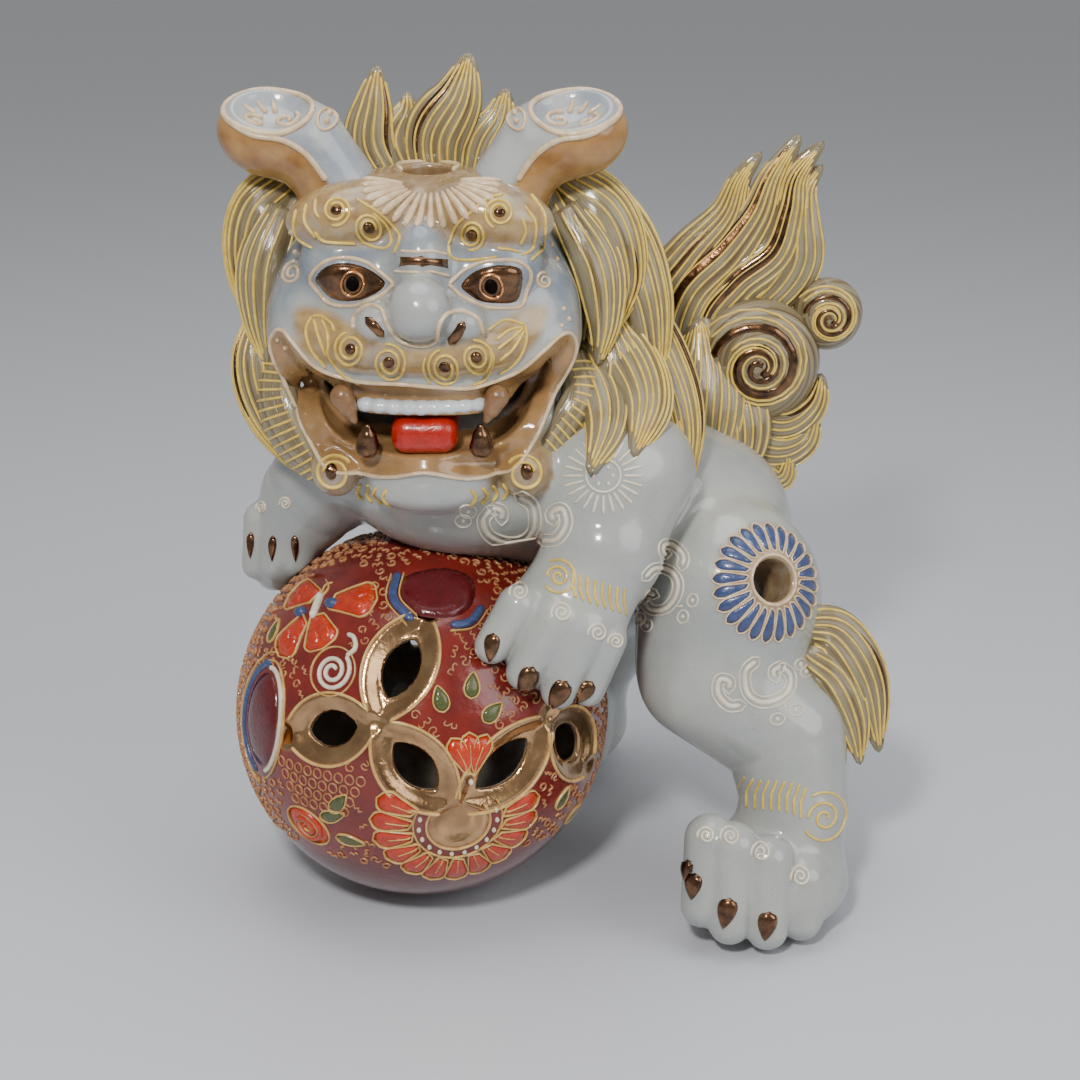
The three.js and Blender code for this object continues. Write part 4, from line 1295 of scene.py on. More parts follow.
FANGS = {
    "upper_fang_right": ((-20.8, -31, -14), (-17.6, -32, -20.5), TAN_GLAZE),
    "upper_fang_left": ((19.8, -31, -14), (16.8, -32, -20.5), TAN_GLAZE),
    "lower_fang_right": ((-14.4, -32.5, -27.2), (-14.2, -34, -21.2), LUSTRE),
    "lower_fang_left": ((15.6, -32.5, -27.2), (15.4, -34, -21.2), LUSTRE),
}
for node, (base, tip, material) in FANGS.items():
    low, high = at(HEAD, *base), at(HEAD, *tip)
    corner, far = np.minimum(low, high) - 5, np.maximum(low, high) + 5
    v, n, f = cast(corner, far, lambda p: limb(p, (low, 3.3), ((low + high) / 2, 2.4), (high, 0.9)))
    dress(make_mesh(node + "_tooth", v, f, n), material, "gold_lustre", node)


# ---------------------------------------------------------------- enamel: how each motif is drawn

DOWN_FRONT = unit([0, -0.94, 0.342])  # most drawings on the front are laid on from this way


def polar(radius, turn, u=0.0, v=0.0):
    """The place at a radius and an angle in degrees round (u, v)."""
    a = math.radians(turn)
    return u + radius * math.cos(a), v + radius * math.sin(a)


def ellipse(u, v, radius_u, radius_v, turn=0.0, count=20):
    angle = np.linspace(0, 2 * np.pi, count, endpoint=False)
    x, y = radius_u * np.cos(angle), radius_v * np.sin(angle)
    c, s = math.cos(math.radians(turn)), math.sin(math.radians(turn))
    return np.stack([u + c * x - s * y, v + s * x + c * y], axis=1)


def petal_outline(u, v, length, width, turn, blunt=0.7):
    """A petal that starts at a place and points along turn, in degrees."""
    t = np.linspace(0, 1, 11)
    half = width / 2 * np.sin(np.pi * t**blunt) ** 0.8
    if blunt > 1:
        rounding = np.sqrt(1 - ((t - 0.7) / 0.3).clip(0, 1) ** 2)
        half = width / 2 * (0.35 + 0.65 * np.minimum(t / 0.7, 1)) * rounding
    x = np.concatenate([t, t[-2:0:-1]]) * length
    y = np.concatenate([-half, half[-2:0:-1]])
    c, s = math.cos(math.radians(turn)), math.sin(math.radians(turn))
    return np.stack([u + c * x - s * y, v + s * x + c * y], axis=1)


def closed(outline):
    return np.concatenate([outline, outline[:2]])


def moved(points, u, v, turn=0.0, size=1.0, flip=1):
    """A drawing turned, sized and moved; flip of -1 makes its mirror image."""
    c, s = math.cos(math.radians(turn)), math.sin(math.radians(turn))
    x, y = np.asarray(points, dtype=float).T * size
    x = x * flip
    return np.stack([u + c * x - s * y, v + s * x + c * y], axis=1)


def ribbon(points, distance):
    """The closed outline round a stroke, at a distance from its middle line."""
    points = np.asarray(points, dtype=float)
    tangent = unit(np.gradient(points, axis=0))
    side = np.stack([-tangent[:, 1], tangent[:, 0]], axis=1) * distance
    start, end = points[0] - tangent[0] * distance, points[-1] + tangent[-1] * distance
    return closed(np.concatenate([points + side, [end], (points - side)[::-1], [start]]))


def karakusa(canvas, beads, u, v, size=1.0, turn=0.0, flip=1):
    """A scrolling vine: a hooked stem, a curled leaf and buds, each with a fine outline."""
    stems = [
        [(-6, 5), (-8, 2), (-6.5, -2), (-2, -4), (3, -3.5), (6, 0), (5.5, 6), (2, 8.5)],
        [(8.5, -3.5), (12, -3), (14.5, 1), (13.5, 5), (10.8, 4.2), (11.2, 2)],
        [(-5.5, 5.5), (-3, 4.6), (-3, 2.4)],
    ]
    for stem in stems:
        line = moved(curve_through(stem, 5), u, v, turn, size, flip)
        canvas.draw(beads, line, 1.5 * size, 0.55)
        canvas.draw(beads, ribbon(line, 1.7 * size), 0.5, 0.4)
    for x, y in [(-12, 4.5), (-7.5, -8), (-1.5, -9.5), (-13.5, 2)]:
        bud = moved([(x, y)], u, v, turn, size, flip)[0]
        canvas.draw(beads, closed(ellipse(*bud, 2.2 * size, 1.7 * size, turn)), 0.5, 0.4)
        canvas.dot(beads, *bud, 1.7 * size, 0.5)
    tie = moved([(-5, -5), (-4, -7)], u, v, turn, size, flip)
    canvas.draw(beads, tie, 0.6, 0.4)


def toe_spirals(canvas, beads, places):
    for u, v, radius in places:
        canvas.draw(beads, spiral(u, v, radius, 2.1, 200, -1, 0.1), 0.75, 0.5)


def lay_claws(canvas, rows):
    """Claws from their places, lengths, widths and turns."""
    for row in rows:
        claws.patch(canvas, petal_outline(*row, 0.62), 1.0)


def band_of_hair(canvas, beads, points, stroke, lean, curl_radius):
    """Short strokes side by side along a line, with a curl at its start."""
    line = curve_through(points, 6)
    start = line[0]
    canvas.draw(beads, spiral(*start, curl_radius, 1.6, 180, -1, 0.15), 0.9, 0.6)
    canvas.draw(beads, spiral(*start, curl_radius * 1.45, 0.75, 120, -1, 0.9), 0.8, 0.5)
    length = np.concatenate([[0], np.cumsum(np.linalg.norm(np.diff(line, axis=0), axis=1))])
    for s in np.arange(curl_radius * 1.5, length[-1], 2.1):
        x, y = np.interp(s, length, line[:, 0]), np.interp(s, length, line[:, 1])
        a, b = math.cos(math.radians(lean)) * stroke / 2, math.sin(math.radians(lean)) * stroke / 2
        canvas.draw(beads, [(x - a, y - b), (x - b * 0.18, y + a * 0.18), (x + a, y + b)], 0.85, 0.5)


def chrysanthemum(canvas, petals, outlines, inner, outer, count):
    for number in range(count):
        turn = 360 / count * number
        width = 2 * math.pi * outer / count * 0.78
        middle = petal_outline(*polar(inner, turn), outer - inner, width, turn, 1.25)
        petals.patch(canvas, middle, 0.45, 2)
        canvas.draw(outlines, closed(middle), 0.55, 0.5)


# ---------------------------------------------------------------- enamel on the face

skin_cream = Beads("face_cream_lines", CREAM, "white_glaze")
skin_yellow = Beads("face_yellow_lines", YELLOW, "hair_glaze")
skin_bronze = Beads("face_bronze", LUSTRE, "gold_lustre")
skin_black = Beads("pupils", PUPIL, "gold_lustre")
skin_glint_ring = Beads("eye_glint_rings", COPPER_GLINT, "gold_lustre")
body_white = Beads("body_white_scrolls", WHITE_ENAMEL, "white_glaze")
body_cream = Beads("body_cream_lines", CREAM, "white_glaze")
body_yellow = Beads("body_yellow_bands", YELLOW, "hair_glaze")
body_blue = Beads("haunch_blue_petals", BLUE, "white_glaze")
claws = Beads("claws", LUSTRE, "gold_lustre")

FACE = Canvas(BODY_TREE, HEAD + [0.6, -50, 13], DOWN_FRONT, reach=30)

# Each eye: its almond, the cream line round it, and the middle of its pupil.
EYES = [
    (
        [(-27.5, 10.3), (-25.7, 12.6), (-22.7, 14), (-18.5, 14.3), (-14.3, 13.2), (-11.2, 11.4), (-9.2, 9.2),
         (-11.4, 6.8), (-15.5, 5.2), (-20.3, 5), (-24, 6.2), (-26, 8.4)],
        [(-6.8, 8.9), (-10.3, 11.9), (-13.8, 14.4), (-18.4, 15.6), (-23.2, 15.2), (-26.6, 13.4),
         (-28.8, 10.6),
         (-26.8, 7.6), (-24.5, 5), (-20.4, 3.8), (-15, 4), (-10.6, 5.7), (-6.8, 8.9)],
        (-17.5, 9.3),
    ),
    (
        [(10.2, 8.5), (12.3, 11.2), (15.3, 12.8), (19.6, 13.7), (24.2, 13.5), (26, 11.8), (25.6, 8.2),
         (24.2, 5.2), (20.2, 4.5), (15.3, 4.8), (12.3, 6.4)],
        [(7, 8.9), (10.5, 12.2), (14.6, 14.2), (19.8, 15), (25, 14.8), (28, 12.2), (26.9, 8), (25.4, 4),
         (20.2, 3.3), (14.8, 3.6), (10.6, 5.6), (7, 8.9)],
        (17.8, 8.7),
    ),
]
for almond, rim, middle in EYES:
    skin_bronze.patch(FACE, curve_through(almond, 3, closed=True), 0.7)
    FACE.draw(skin_cream, curve_through(rim, 4), 1.15, 0.75)
    skin_black.patch(FACE, ellipse(*middle, 2.1, 2.2), 1.35, 3)
    # A bright copper ring round the pupil: a painted glint.
    FACE.draw(skin_glint_ring, closed(ellipse(*middle, 2.8, 2.8, 0, 28)), 1.2, 1.3)

# Between the brows: a bronze bar, with a cream line above and below it.
bar = [(-5.8, 12.8), (0.6, 12.4), (7.1, 12.7), (7.1, 15.1), (0.6, 15.3), (-5.8, 15.5)]
skin_bronze.patch(FACE, bar, 0.5, 3)
FACE.draw(skin_cream, [(-5, 16.8), (-1, 16.2), (3, 16.6), (6.6, 16.2)], 0.9, 0.6)
FACE.draw(skin_cream, [(-6.8, 12), (-2, 11.2), (3, 11.4), (7.4, 10.9)], 0.9, 0.6)

# The nose: a cream line that loops over both nostrils and dips under the bulb.
nose_line = [(-17.3, -2.6), (-16.9, 0.8), (-13, 2.9), (-9.6, 1.7), (-8, -2), (-5.2, -5.8), (0.2, -7.1),
             (3.9, -5.9), (5.3, -2.1), (7.5, 0.6), (11.1, 1.2), (14.7, -0.7), (15.8, -4)]
FACE.draw(skin_cream, curve_through(nose_line, 5), 1.2, 0.8)
for points in ([(-13.6, -0.3), (-11.4, -2.6), (-9.2, -4.9)], [(11.2, -1.5), (9.6, -4.4), (7.4, -6.8)]):
    FACE.draw(skin_bronze, points, 2.7, 0.8)

# The brows: curls with a dark middle, in curved lines of yellow.
BROW_LINES = [
    [(-31.8, 28), (-32.4, 22), (-28, 18.4)],
    [(-29, 29.2), (-29.4, 24.4), (-26.6, 20.6)],
    [(-26.6, 30.4), (-26.6, 27), (-25.4, 25)],
    [(-26.9, 22), (-24.5, 19.8), (-16.7, 19.3)],
    [(-16.4, 30), (-9.4, 25.7), (-5.2, 20.8), (-6.7, 16.4)],
    [(-12, 26.4), (-8.6, 23.4), (-7.6, 19.6), (-10.2, 18.3), (-15.6, 19.8)],
    [(6.9, 19), (7.5, 16), (10.5, 15.1), (16.5, 15.4), (19.6, 16)],
    [(6.9, 19), (8.7, 23.2), (13.5, 26.9), (17.1, 30), (21, 31.2)],
    [(28, 32.3), (31.6, 26.3), (31, 19.6), (28, 15.4)],
    [(26.4, 28.4), (29.3, 24), (28.4, 18.6), (25.6, 16.6)],
    [(25.6, 25.4), (26.8, 22.2), (25.2, 19)],
    [(19.2, 18.2), (23, 17.8), (25.4, 17.2)],
]
for points in BROW_LINES:
    FACE.draw(skin_yellow, curve_through(points, 5), 0.8, 0.6)
BROW_CURLS = [(-21.2, 27, 3.9, 1), (-13, 22.8, 3.6, -1), (20.2, 26.4, 4, -1), (12.9, 21.2, 3.6, 1)]
for u, v, radius, hand in BROW_CURLS:
    skin_bronze.patch(FACE, ellipse(u, v, 1.5, 1.3, 0, 14), 0.6, 3)
    FACE.draw(skin_yellow, spiral(u, v, radius, 1.7, 250, hand, 0.42), 0.8, 0.6)

# The moustache: four curls and a palmette at each end.
LIP_CURLS = [(-18.2, -7.6, 4.4, 1), (-8.2, -11.2, 4.7, -1), (6, -12.4, 4.5, 1), (14.1, -9.8, 4.3, -1)]
for u, v, radius, hand in LIP_CURLS:
    skin_bronze.patch(FACE, ellipse(u, v, 1.5, 1.4, 0, 14), 0.7, 3)
    FACE.draw(skin_yellow, spiral(u, v, radius, 1.8, 100, hand, 0.4), 0.85, 0.65)
MOUSTACHE_LINES = [
    [(-28.7, 1.5), (-30.3, -2.1), (-28.9, -7.2), (-25.4, -11.6)],
    [(-28.7, 1.5), (-26.2, 1.4), (-23.4, -0.6), (-22.4, -2.8)],
    [(-28.2, 0.9), (-26.6, -4.4), (-24.8, -8.9)],
    [(-26, 0.8), (-24.2, -3.4), (-24.2, -6.2)],
    [(-23.9, -5.7), (-24.2, -8.8), (-21.5, -13), (-16.7, -15.7)],
    [(26.5, -0.9), (21.4, 0.2), (17.1, -2.9)],
    [(26.5, -0.9), (26.8, -5.1), (24.4, -10), (19.6, -13.3)],
    [(26.2, -1.4), (22.6, -2.4), (19.2, -5.2)],
    [(26.2, -1.6), (22.8, -4.8), (19.4, -7.6)],
    [(26.4, -2.2), (23.4, -7.2), (19.8, -10.2)],
    [(17.4, -7), (18.4, -10.2), (16, -14.6), (12.6, -16.2)],
    [(1.2, -9.8), (0.6, -12.8), (2, -16)],
]
for points in MOUSTACHE_LINES:
    FACE.draw(skin_yellow, curve_through(points, 5), 0.8, 0.6)

# The lips: a cream line all round the outer edge.
LIPS = Canvas(BODY_TREE, HEAD + [0, -40, 0], (0, -1, 0), reach=30)
LIPS.draw(skin_cream, closed(MOUTH_RIM), 1.1, 0.7)

# Curls and drops at the temples.
for u, v, radius in [(-34.5, 13.5, 3.4), (31.5, 11, 2.2)]:
    FACE.draw(skin_cream, spiral(u, v, radius, 1.7, 80, 1, 0.25), 0.9, 0.55)
TEMPLE_DROPS = [(-34.5, 19.8), (-33.5, 22.5), (-38.5, -4), (-36.8, -6), (33.6, 22), (34.8, 18),
                (36.6, 4), (36, -0.5), (38, 1.5)]
for u, v in TEMPLE_DROPS:
    FACE.dot(skin_cream, u, v, 1.5, 0.6)

# A rim round the hole in the crown.
CROWN = Canvas(BODY_TREE, CROWN_HOLE + [0, -2, 4], (0, -0.5, 1), up=(0, 1, 0), reach=14)
CROWN.draw(skin_cream, closed(ellipse(0, 2, 8.2, 7.8, 0, 32)), 1.0, 0.7)

# The curls at the chin, and short lines across the tan glaze beside them.
for side in (-1, 1):
    chin = Canvas(BODY_TREE, at(HEAD, 1.5 + side * 25.5, -27, -36.5), DOWN_FRONT, reach=14)
    skin_bronze.patch(chin, ellipse(side * 0.5, 0.5, 1.7, 2.4), 1.0, 3)
    chin.draw(skin_yellow, spiral(0, 0, 5.0, 1.4, 90 + side * 60, -side, 0.5), 1.0, 0.8)
    for step in range(4):
        u, v = -side * (6 + 2.8 * step), -2.5 - 0.6 * step
        curl = [(u, v), (u + side * 1.2, v - 2.2), (u - side * 0.4, v - 4.4)]
        chin.draw(skin_yellow, curve_through(curl, 4), 1.0, 0.7)

# The fan of petals in front of the crown's hole, from an inner oval to an outer one.
for turn in range(171, 370, 11):
    a = math.radians(turn)
    start = (2.5 + 7.6 * math.cos(a), 35.4 + 3.0 * math.sin(a))
    end = (2.5 + 18 * math.cos(a), 34.4 + 11.5 * math.sin(a))
    FACE.draw(skin_cream, np.linspace(start, end, 8), 2.5, 0.9, "petal")

for beads in (skin_cream, skin_yellow, skin_bronze, skin_black, skin_glint_ring):
    beads.finish()

# ---------------------------------------------------------------- enamel on the body

# The shoulder: a vine on the chest, and a flower of rays, a ring and six dots.
SHOULDER = Canvas(BODY_TREE, CHEST + [30, -46, -5], DOWN_FRONT, reach=24)
FLOWER = (11.5, 13)
karakusa(SHOULDER, body_white, -13, -1, 1.0)
for turn in range(0, 360, 15):
    a = math.radians(turn)
    points = [(FLOWER[0] + r * math.cos(a), FLOWER[1] + r * math.sin(a) * 0.95) for r in (5.4, 8, 11)]
    SHOULDER.draw(body_white, points, 0.8, 0.5)
SHOULDER.draw(body_white, closed(ellipse(*FLOWER, 4.6, 4.4, 0, 24)), 0.7, 0.5)
for turn in range(0, 360, 60):
    a = math.radians(turn)
    SHOULDER.dot(body_white, FLOWER[0] + 2.6 * math.cos(a), FLOWER[1] + 2.5 * math.sin(a), 1.5, 0.6)

# The haunch's flower, round its hole, and two vines on the leg.
HAUNCH = Canvas(BODY_TREE, HAUNCH_LEFT + 26 * HAUNCH_OUT, HAUNCH_OUT, reach=16)
chrysanthemum(HAUNCH, body_blue, body_cream, 7.8, 17, 24)
HAUNCH.draw(body_cream, closed(ellipse(0, 0, 7.0, 7.0, 0, 32)), 0.9, 0.6)
LEG = Canvas(BODY_TREE, HAUNCH_LEFT + 24 * DOWN_FRONT, DOWN_FRONT, reach=24)
karakusa(LEG, body_white, -19.5, 3, 0.85, 75)
karakusa(LEG, body_white, 9, -25, 0.95, 10, -1)

# The hind foot, the paw on the ball, and the far paw: bands of hair, toe spirals and claws.
ANKLE = Canvas(BODY_TREE, FOOT_LEFT + [7, -12, 34], DOWN_FRONT, reach=24)
band_of_hair(ANKLE, body_yellow, [(10.5, -8), (2, -2.5), (-8, -1.8), (-17, -1.5)], 9, 80, 5)
FOOT = Canvas(BODY_TREE, FOOT_LEFT + [0, -20, 15], DOWN_FRONT, reach=24)
toe_spirals(FOOT, body_white, [(-16.5, 9, 2.5), (-10, 9, 2.8), (-1.5, 4.5, 3), (10, -3, 3.2)])
lay_claws(FOOT, [(-19.5, -1.5, 8, 4.6, 262), (-10, -8, 9.5, 5.6, 258), (1, -12, 9, 5.6, 262),
                 (-21.5, 2, 6.5, 2.6, 265)])

PAW = Canvas(BODY_TREE, PAW_LEFT + [0, -9, 3], DOWN_FRONT, reach=22)
toe_spirals(PAW, body_white, [(-8, 16.5, 2.8), (3.3, 11, 3), (13, 5.5, 2.8), (18, 3, 2.4)])
lay_claws(PAW, [(-15, 5.5, 8.5, 4.4, 262), (-4.2, -3.5, 10.5, 5.8, 248), (4.8, -7.5, 10, 5.8, 240),
                (11.8, -8, 8, 4.4, 235)])
band_of_hair(PAW, body_yellow, [(2.5, 20.5), (9, 17.5), (15, 15.5), (21, 13.5)], 7.5, 96, 3.2)

PAW_FAR = Canvas(BODY_TREE, PAW_RIGHT + [0, -12, 3], DOWN_FRONT, reach=22)
toe_spirals(PAW_FAR, body_white, [(-5, 12, 2), (3, 13, 2)])
lay_claws(PAW_FAR, [(-8.5, 5, 8, 2.2, 268), (-1.5, 4, 8, 2.4, 266), (5, 4, 8, 2.4, 268)])

for beads in (body_white, body_cream, body_yellow, body_blue, claws):
    beads.finish()


# ---------------------------------------------------------------- enamel on the hair and ears


def hair_lines(name, nodes, crosswise=()):
    """Raised yellow lines along every lock, on both of its faces."""
    lines = Beads(name, YELLOW, "hair_glaze")
    for node in nodes:
        for number, lock in enumerate(HAIR_NODES[node]):
            if (node, number) in crosswise:
                for t in np.arange(0.08, 0.94, 2.3 / lock.length):
                    c = np.linspace(-0.86, 0.86, 7)
                    lines.stroke(*lock.place(t + 0.02 * c, c), 0.8, 0.55)
                continue
            count = max(3, int(round(np.max(lock.half) * 2 / 2.4)))
            for step in range(count):
                c = -0.88 + 1.76 * step / (count - 1)
                start, end = 0.02 + 0.05 * (step % 2), 0.97 - 0.10 * abs(c)
                for front in (1, -1):
                    lines.stroke(*lock.line(c, start, end, front), 0.75, 0.5)
    lines.finish()


hair_lines("mane_side_lines", ["mane_right", "mane_left"], {("mane_right", 3), ("mane_left", 3)})
hair_lines("mane_cape_lines", ["mane_cape", "mane_back"])
hair_lines("crest_lines", ["crest_flame_tall", "crest_flame_short", "crest_flame_low"])
hair_lines("tail_lines", ["tail_root", "tail_plume"])
hair_lines("tail_low_lines", ["tail_lower_lock"])
hair_lines("hock_lines", ["hock_tuft_left", "hock_tuft_right"])

# Bronze stripes on the locks: piece, lock, how far across, from and to along it, and width.
STRIPES = [
    ("crest_flame_tall", 0, 0.62, 0.1, 0.95, 2.6),
    ("crest_flame_short", 0, -0.62, 0.2, 0.95, 2.2),
    ("mane_right", 0, 0.2, 0.5, 0.92, 2.4),
    ("mane_right", 2, -0.3, 0.1, 0.6, 2.4),
    ("mane_left", 0, -0.2, 0.5, 0.92, 2.4),
    ("mane_left", 2, 0.3, 0.1, 0.6, 2.4),
    ("mane_cape", 1, 0.4, 0.1, 0.7, 2.6),
    ("tail_plume", 0, 0.3, 0.05, 0.7, 3.0),
    ("tail_plume", 1, 0.55, 0.05, 0.96, 4.0),
    ("tail_plume", 2, 0.1, 0.1, 0.96, 3.6),
    ("tail_plume", 3, 0.7, 0.3, 0.97, 2.4),
    ("tail_lower_lock", 0, 0.2, 0.4, 0.96, 3.0),
    ("tail_lower_lock", 3, 0.1, 0.3, 0.9, 2.6),
    ("hock_tuft_left", 0, 0.62, 0.3, 0.95, 2.4),
    ("hock_tuft_right", 0, 0.62, 0.3, 0.95, 2.4),
]
stripes = Beads("hair_bronze_stripes", LUSTRE, "gold_lustre")
for node, number, c, start, end, width in STRIPES:
    for front in (1, -1):
        stripes.stroke(*HAIR_NODES[node][number].line(c, start, end, front), width, 0.35, "leaf")

scroll_lines = Beads("tail_scroll_lines", YELLOW, "hair_glaze")
for node, (centre, radii) in SCROLLS.items():
    for normal in ((0, -1, 0), (0, 1, 0)):
        paper = Canvas(SCROLL_TREES[node], centre, normal, reach=20)
        size = radii[0]
        for share in (0.98, 0.86, 0.52):
            paper.draw(scroll_lines, spiral(0, 0, size * share, 1.5, 150, -1, 0.22), 0.8, 0.55)
        paper.draw(stripes, spiral(0, 0, size * 0.74, 1.7, 170, -1, 0.12), size * 0.15, 0.5)
        paper.draw(stripes, spiral(0, 0, size * 0.36, 1.2, 100, -1, 0.1), size * 0.10, 0.5)
scroll_lines.finish()
stripes.finish()

ear_cream = Beads("ear_cream_lines", CREAM, "white_glaze")
for side, tree in EAR_TREES.items():
    middle = ear_middle(side) + 7 * ear_up(side) + [side * 1.5, 0, 0]
    paper = Canvas(tree, middle, ear_up(side), up=(0, 1, 0), reach=14)
    paper.draw(ear_cream, closed(ellipse(0, 0, 11.4, 9.6, 0, 40)), 1.7, 0.9)
    for u, v, radius, hand in [(-5, 0.5, 3.6, 1), (2.5, -3.2, 3.4, -1)]:
        paper.draw(ear_cream, spiral(side * u, v, radius, 1.3, 60, side * hand, 0.2), 1.3, 0.8)
    for u, v, turn in [(3.6, 4.6, 215), (6.8, 1.6, 190), (0, 6.4, 240)]:
        drop = np.linspace((u, v), polar(4, turn, u, v), 6)
        paper.draw(ear_cream, [(side * x, y) for x, y in drop], 1.9, 0.9, "petal")
    paper.draw(ear_cream, closed(ellipse(side * -15.5, 0.5, 2.2, 4.6, side * 14, 24)), 1.0, 0.7)
    for v in (-1, 2.6):
        paper.dot(ear_cream, side * -15.5, v, 2.4, 1.2)
    front = Canvas(tree, HEAD + [0, -10, 0], (0, -1, 0), reach=26)
    line = [(side * out, high) for out, high in zip(EAR_OUT[1:], EAR_HIGH[1:])]
    front.draw(ear_cream, curve_through(line, 5), 1.7, 0.9)
ear_cream.finish()


# ---------------------------------------------------------------- enamel on the ball


class BallSheet(Canvas):
    """A sheet wrapped onto the ball round a direction: drawings keep their lengths on it."""

    def __init__(self, out, up=(0, 0, 1)):
        self.out = unit(out)
        self.right = unit(np.cross(up, self.out))
        self.up = np.cross(self.out, self.right)

    def directions(self, drawn):
        u, v = np.tan(np.asarray(drawn, dtype=float) / BALL_RADIUS).T[:, :, None]
        return unit(self.out + self.right * u + self.up * v)

    def find(self, drawn, lift):
        return BALL + self.directions(drawn) * (BALL_RADIUS + lift)

    def press(self, drawn):
        normals = self.directions(drawn)
        return BALL + normals * BALL_RADIUS, normals


ball_yellow = Beads("ball_yellow_lines", BALL_LINE, "hair_glaze")
ball_gold = Beads("ball_gold_scribbles", SCRIBBLE, "hair_glaze")
ball_orange = Beads("ball_orange_petals", ORANGE, "red_glaze")
ball_maroon = Beads("ball_maroon_panels", MAROON, "red_glaze")
ball_green = Beads("ball_green_leaves", GREEN, "hair_glaze")
ball_blue = Beads("ball_blue_bands", BLUE, "white_glaze")
ball_white = Beads("ball_white_lines", WHITE_ENAMEL, "white_glaze")
taken = []  # places on the ball that are already drawn on, as directions and radii


def sheet_at(round_angle, above, back, radius=0.0):
    out = on_ball(round_angle, above, back)
    if radius:
        taken.append((out, radius))
    return BallSheet(out)


def bordered(sheet, beads, outline, border, width=0.6, height=0.7):
    """A patch of enamel inside a raised line."""
    beads.patch(sheet, outline, height, 3)
    sheet.draw(border, closed(outline), width, height)


# The middle of each of a butterfly's wings, its length and width, and which way it points.
WINGS = [(9.5, 6.5, 15, 12, 35), (7, -6, 12.5, 11, -38), (-10, 1, 15, 11.5, 190), (-2, -11, 13.5, 11.5, 262)]


def butterfly(back):
    sheet = sheet_at(-52, 50, back, 16)
    for u, v, length, width, turn in WINGS:
        wing = petal_outline(*polar(-length * 0.5, turn, u, v), length, width, turn, 1.35)
        bordered(sheet, ball_orange, wing, ball_yellow, 0.6, 0.6)
        for bend in (0.9, -0.9):
            spot = ellipse(*polar(2.4, turn + math.degrees(bend), u, v), 3.2, 2.4, turn)
            ball_orange.patch(sheet, spot, 1.2, 3)
    for u, v in [(4.2, 2.4), (-4.4, -4)]:
        ball_blue.patch(sheet, ellipse(u, v, 2.2, 1.8, 30, 14), 1.6, 3)
    sheet.draw(ball_white, [(-2.2, 3.6), (0, 0), (1.8, -4)], 2.2, 1.7)
    for hand in (-1, 1):
        sheet.draw(ball_yellow, curve_through([(-1, 2.6), (-2.5 - hand, 6), (-4 + 2 * hand, 8)], 4), 0.5, 0.6)


def swirl(back):
    sheet = sheet_at(-29, 33, back, 7.5)
    sheet.draw(ball_white, spiral(0, 0, 5.6, 2.1, 60, -1, 0.2), 1.3, 0.9)
    sheet.draw(ball_white, curve_through([(2.8, 4.8), (4.6, 7.6), (3, 10.4), (0.6, 11)], 4), 1.4, 0.9)
    sheet.draw(ball_yellow, closed(ellipse(0, 0, 6.9, 6.9, 0, 28)), 0.5, 0.6)


def side_panel(back):
    sheet = sheet_at(-56, 11, back, 15)
    oval = ellipse(0, 0, 8.6, 13.5, 4, 30)
    ball_maroon.patch(sheet, oval, 0.5, 4)
    arcs = [(-70, 100, ball_white, 1.6, 1.5), (-75, 110, ball_yellow, 3.0, 0.6),
            (100, 260, ball_blue, 2.6, 2.6), (95, 265, ball_yellow, 4.6, 0.6)]
    for start, end, beads, gap, width in arcs:
        sheet.draw(beads, arc(0, 0, 8.6 + gap, start, end, 1.5), width, 0.7)


def top_panel(back):
    sheet = sheet_at(14, 62, back, 13)
    corners = [(-9, 6), (-10.5, -2), (-6, -8.5), (3, -10), (9, -6), (11, 3), (4, 8)]
    ball_maroon.patch(sheet, curve_through(corners, 3, closed=True), 0.5, 4)
    sheet.draw(ball_blue, curve_through([(-9.6, 8.5), (-12.4, -1), (-8.6, -9.5)], 6), 2.6, 0.8)
    sheet.draw(ball_blue, curve_through([(1.5, -12.4), (7.5, -11.6), (12, -6.5)], 6), 2.6, 0.8)
    for points in ([(-11.4, 8.6), (-14.3, -1), (-10.4, -11)], [(-7.9, 8), (-10.6, -1), (-7, -8.6)],
                   [(1.2, -14.2), (8.4, -13.4), (13.6, -7.4)]):
        sheet.draw(ball_yellow, curve_through(points, 6), 0.55, 0.7)


def great_flower(back):
    """Orange petals and white dots round the gilt disc, and a fan of petals above its hub."""
    inner = 12.6  # where the petals start
    sheet = BallSheet(DISC if not back else DISC * [-1, -1, 1])
    for turn in range(158, 386, 19):
        outline = petal_outline(*polar(inner, turn), 12.0, 7.2, turn, 1.3)
        bordered(sheet, ball_orange, outline, ball_yellow, 0.6, 0.8)
        sheet.draw(ball_yellow, [polar(r, turn) for r in (13.5, 17, 20.5)], 0.45, 1.15)
        sheet.dot(ball_white, *polar(11.0, turn + 9), 2.0, 0.9)
    sheet.draw(ball_yellow, arc(0, 0, DISC_RADIUS + 0.8, 148, 400), 0.7, 0.7)
    sheet.draw(ball_yellow, arc(0, 0, inner, 154, 392), 0.5, 0.6)
    fan = sheet_at(17, 10, back)
    for turn in (64, 89, 114):
        bordered(fan, ball_orange, petal_outline(0, -5.5, 12, 5.2, turn, 1.3), ball_yellow, 0.6, 0.8)
        fan.draw(ball_yellow, [polar(r, turn, 0, -5.5) for r in (2.5, 9)], 0.45, 1.1)
    fan.dot(ball_white, 0, -7.5, 2.2, 0.9)
    for turn in (158, 170, 182, *range(200, 381, 20)):
        taken.append((sheet.directions([polar(18, turn)])[0], 7.0))
    taken.append((fan.directions([(0, 0)])[0], 8.5))


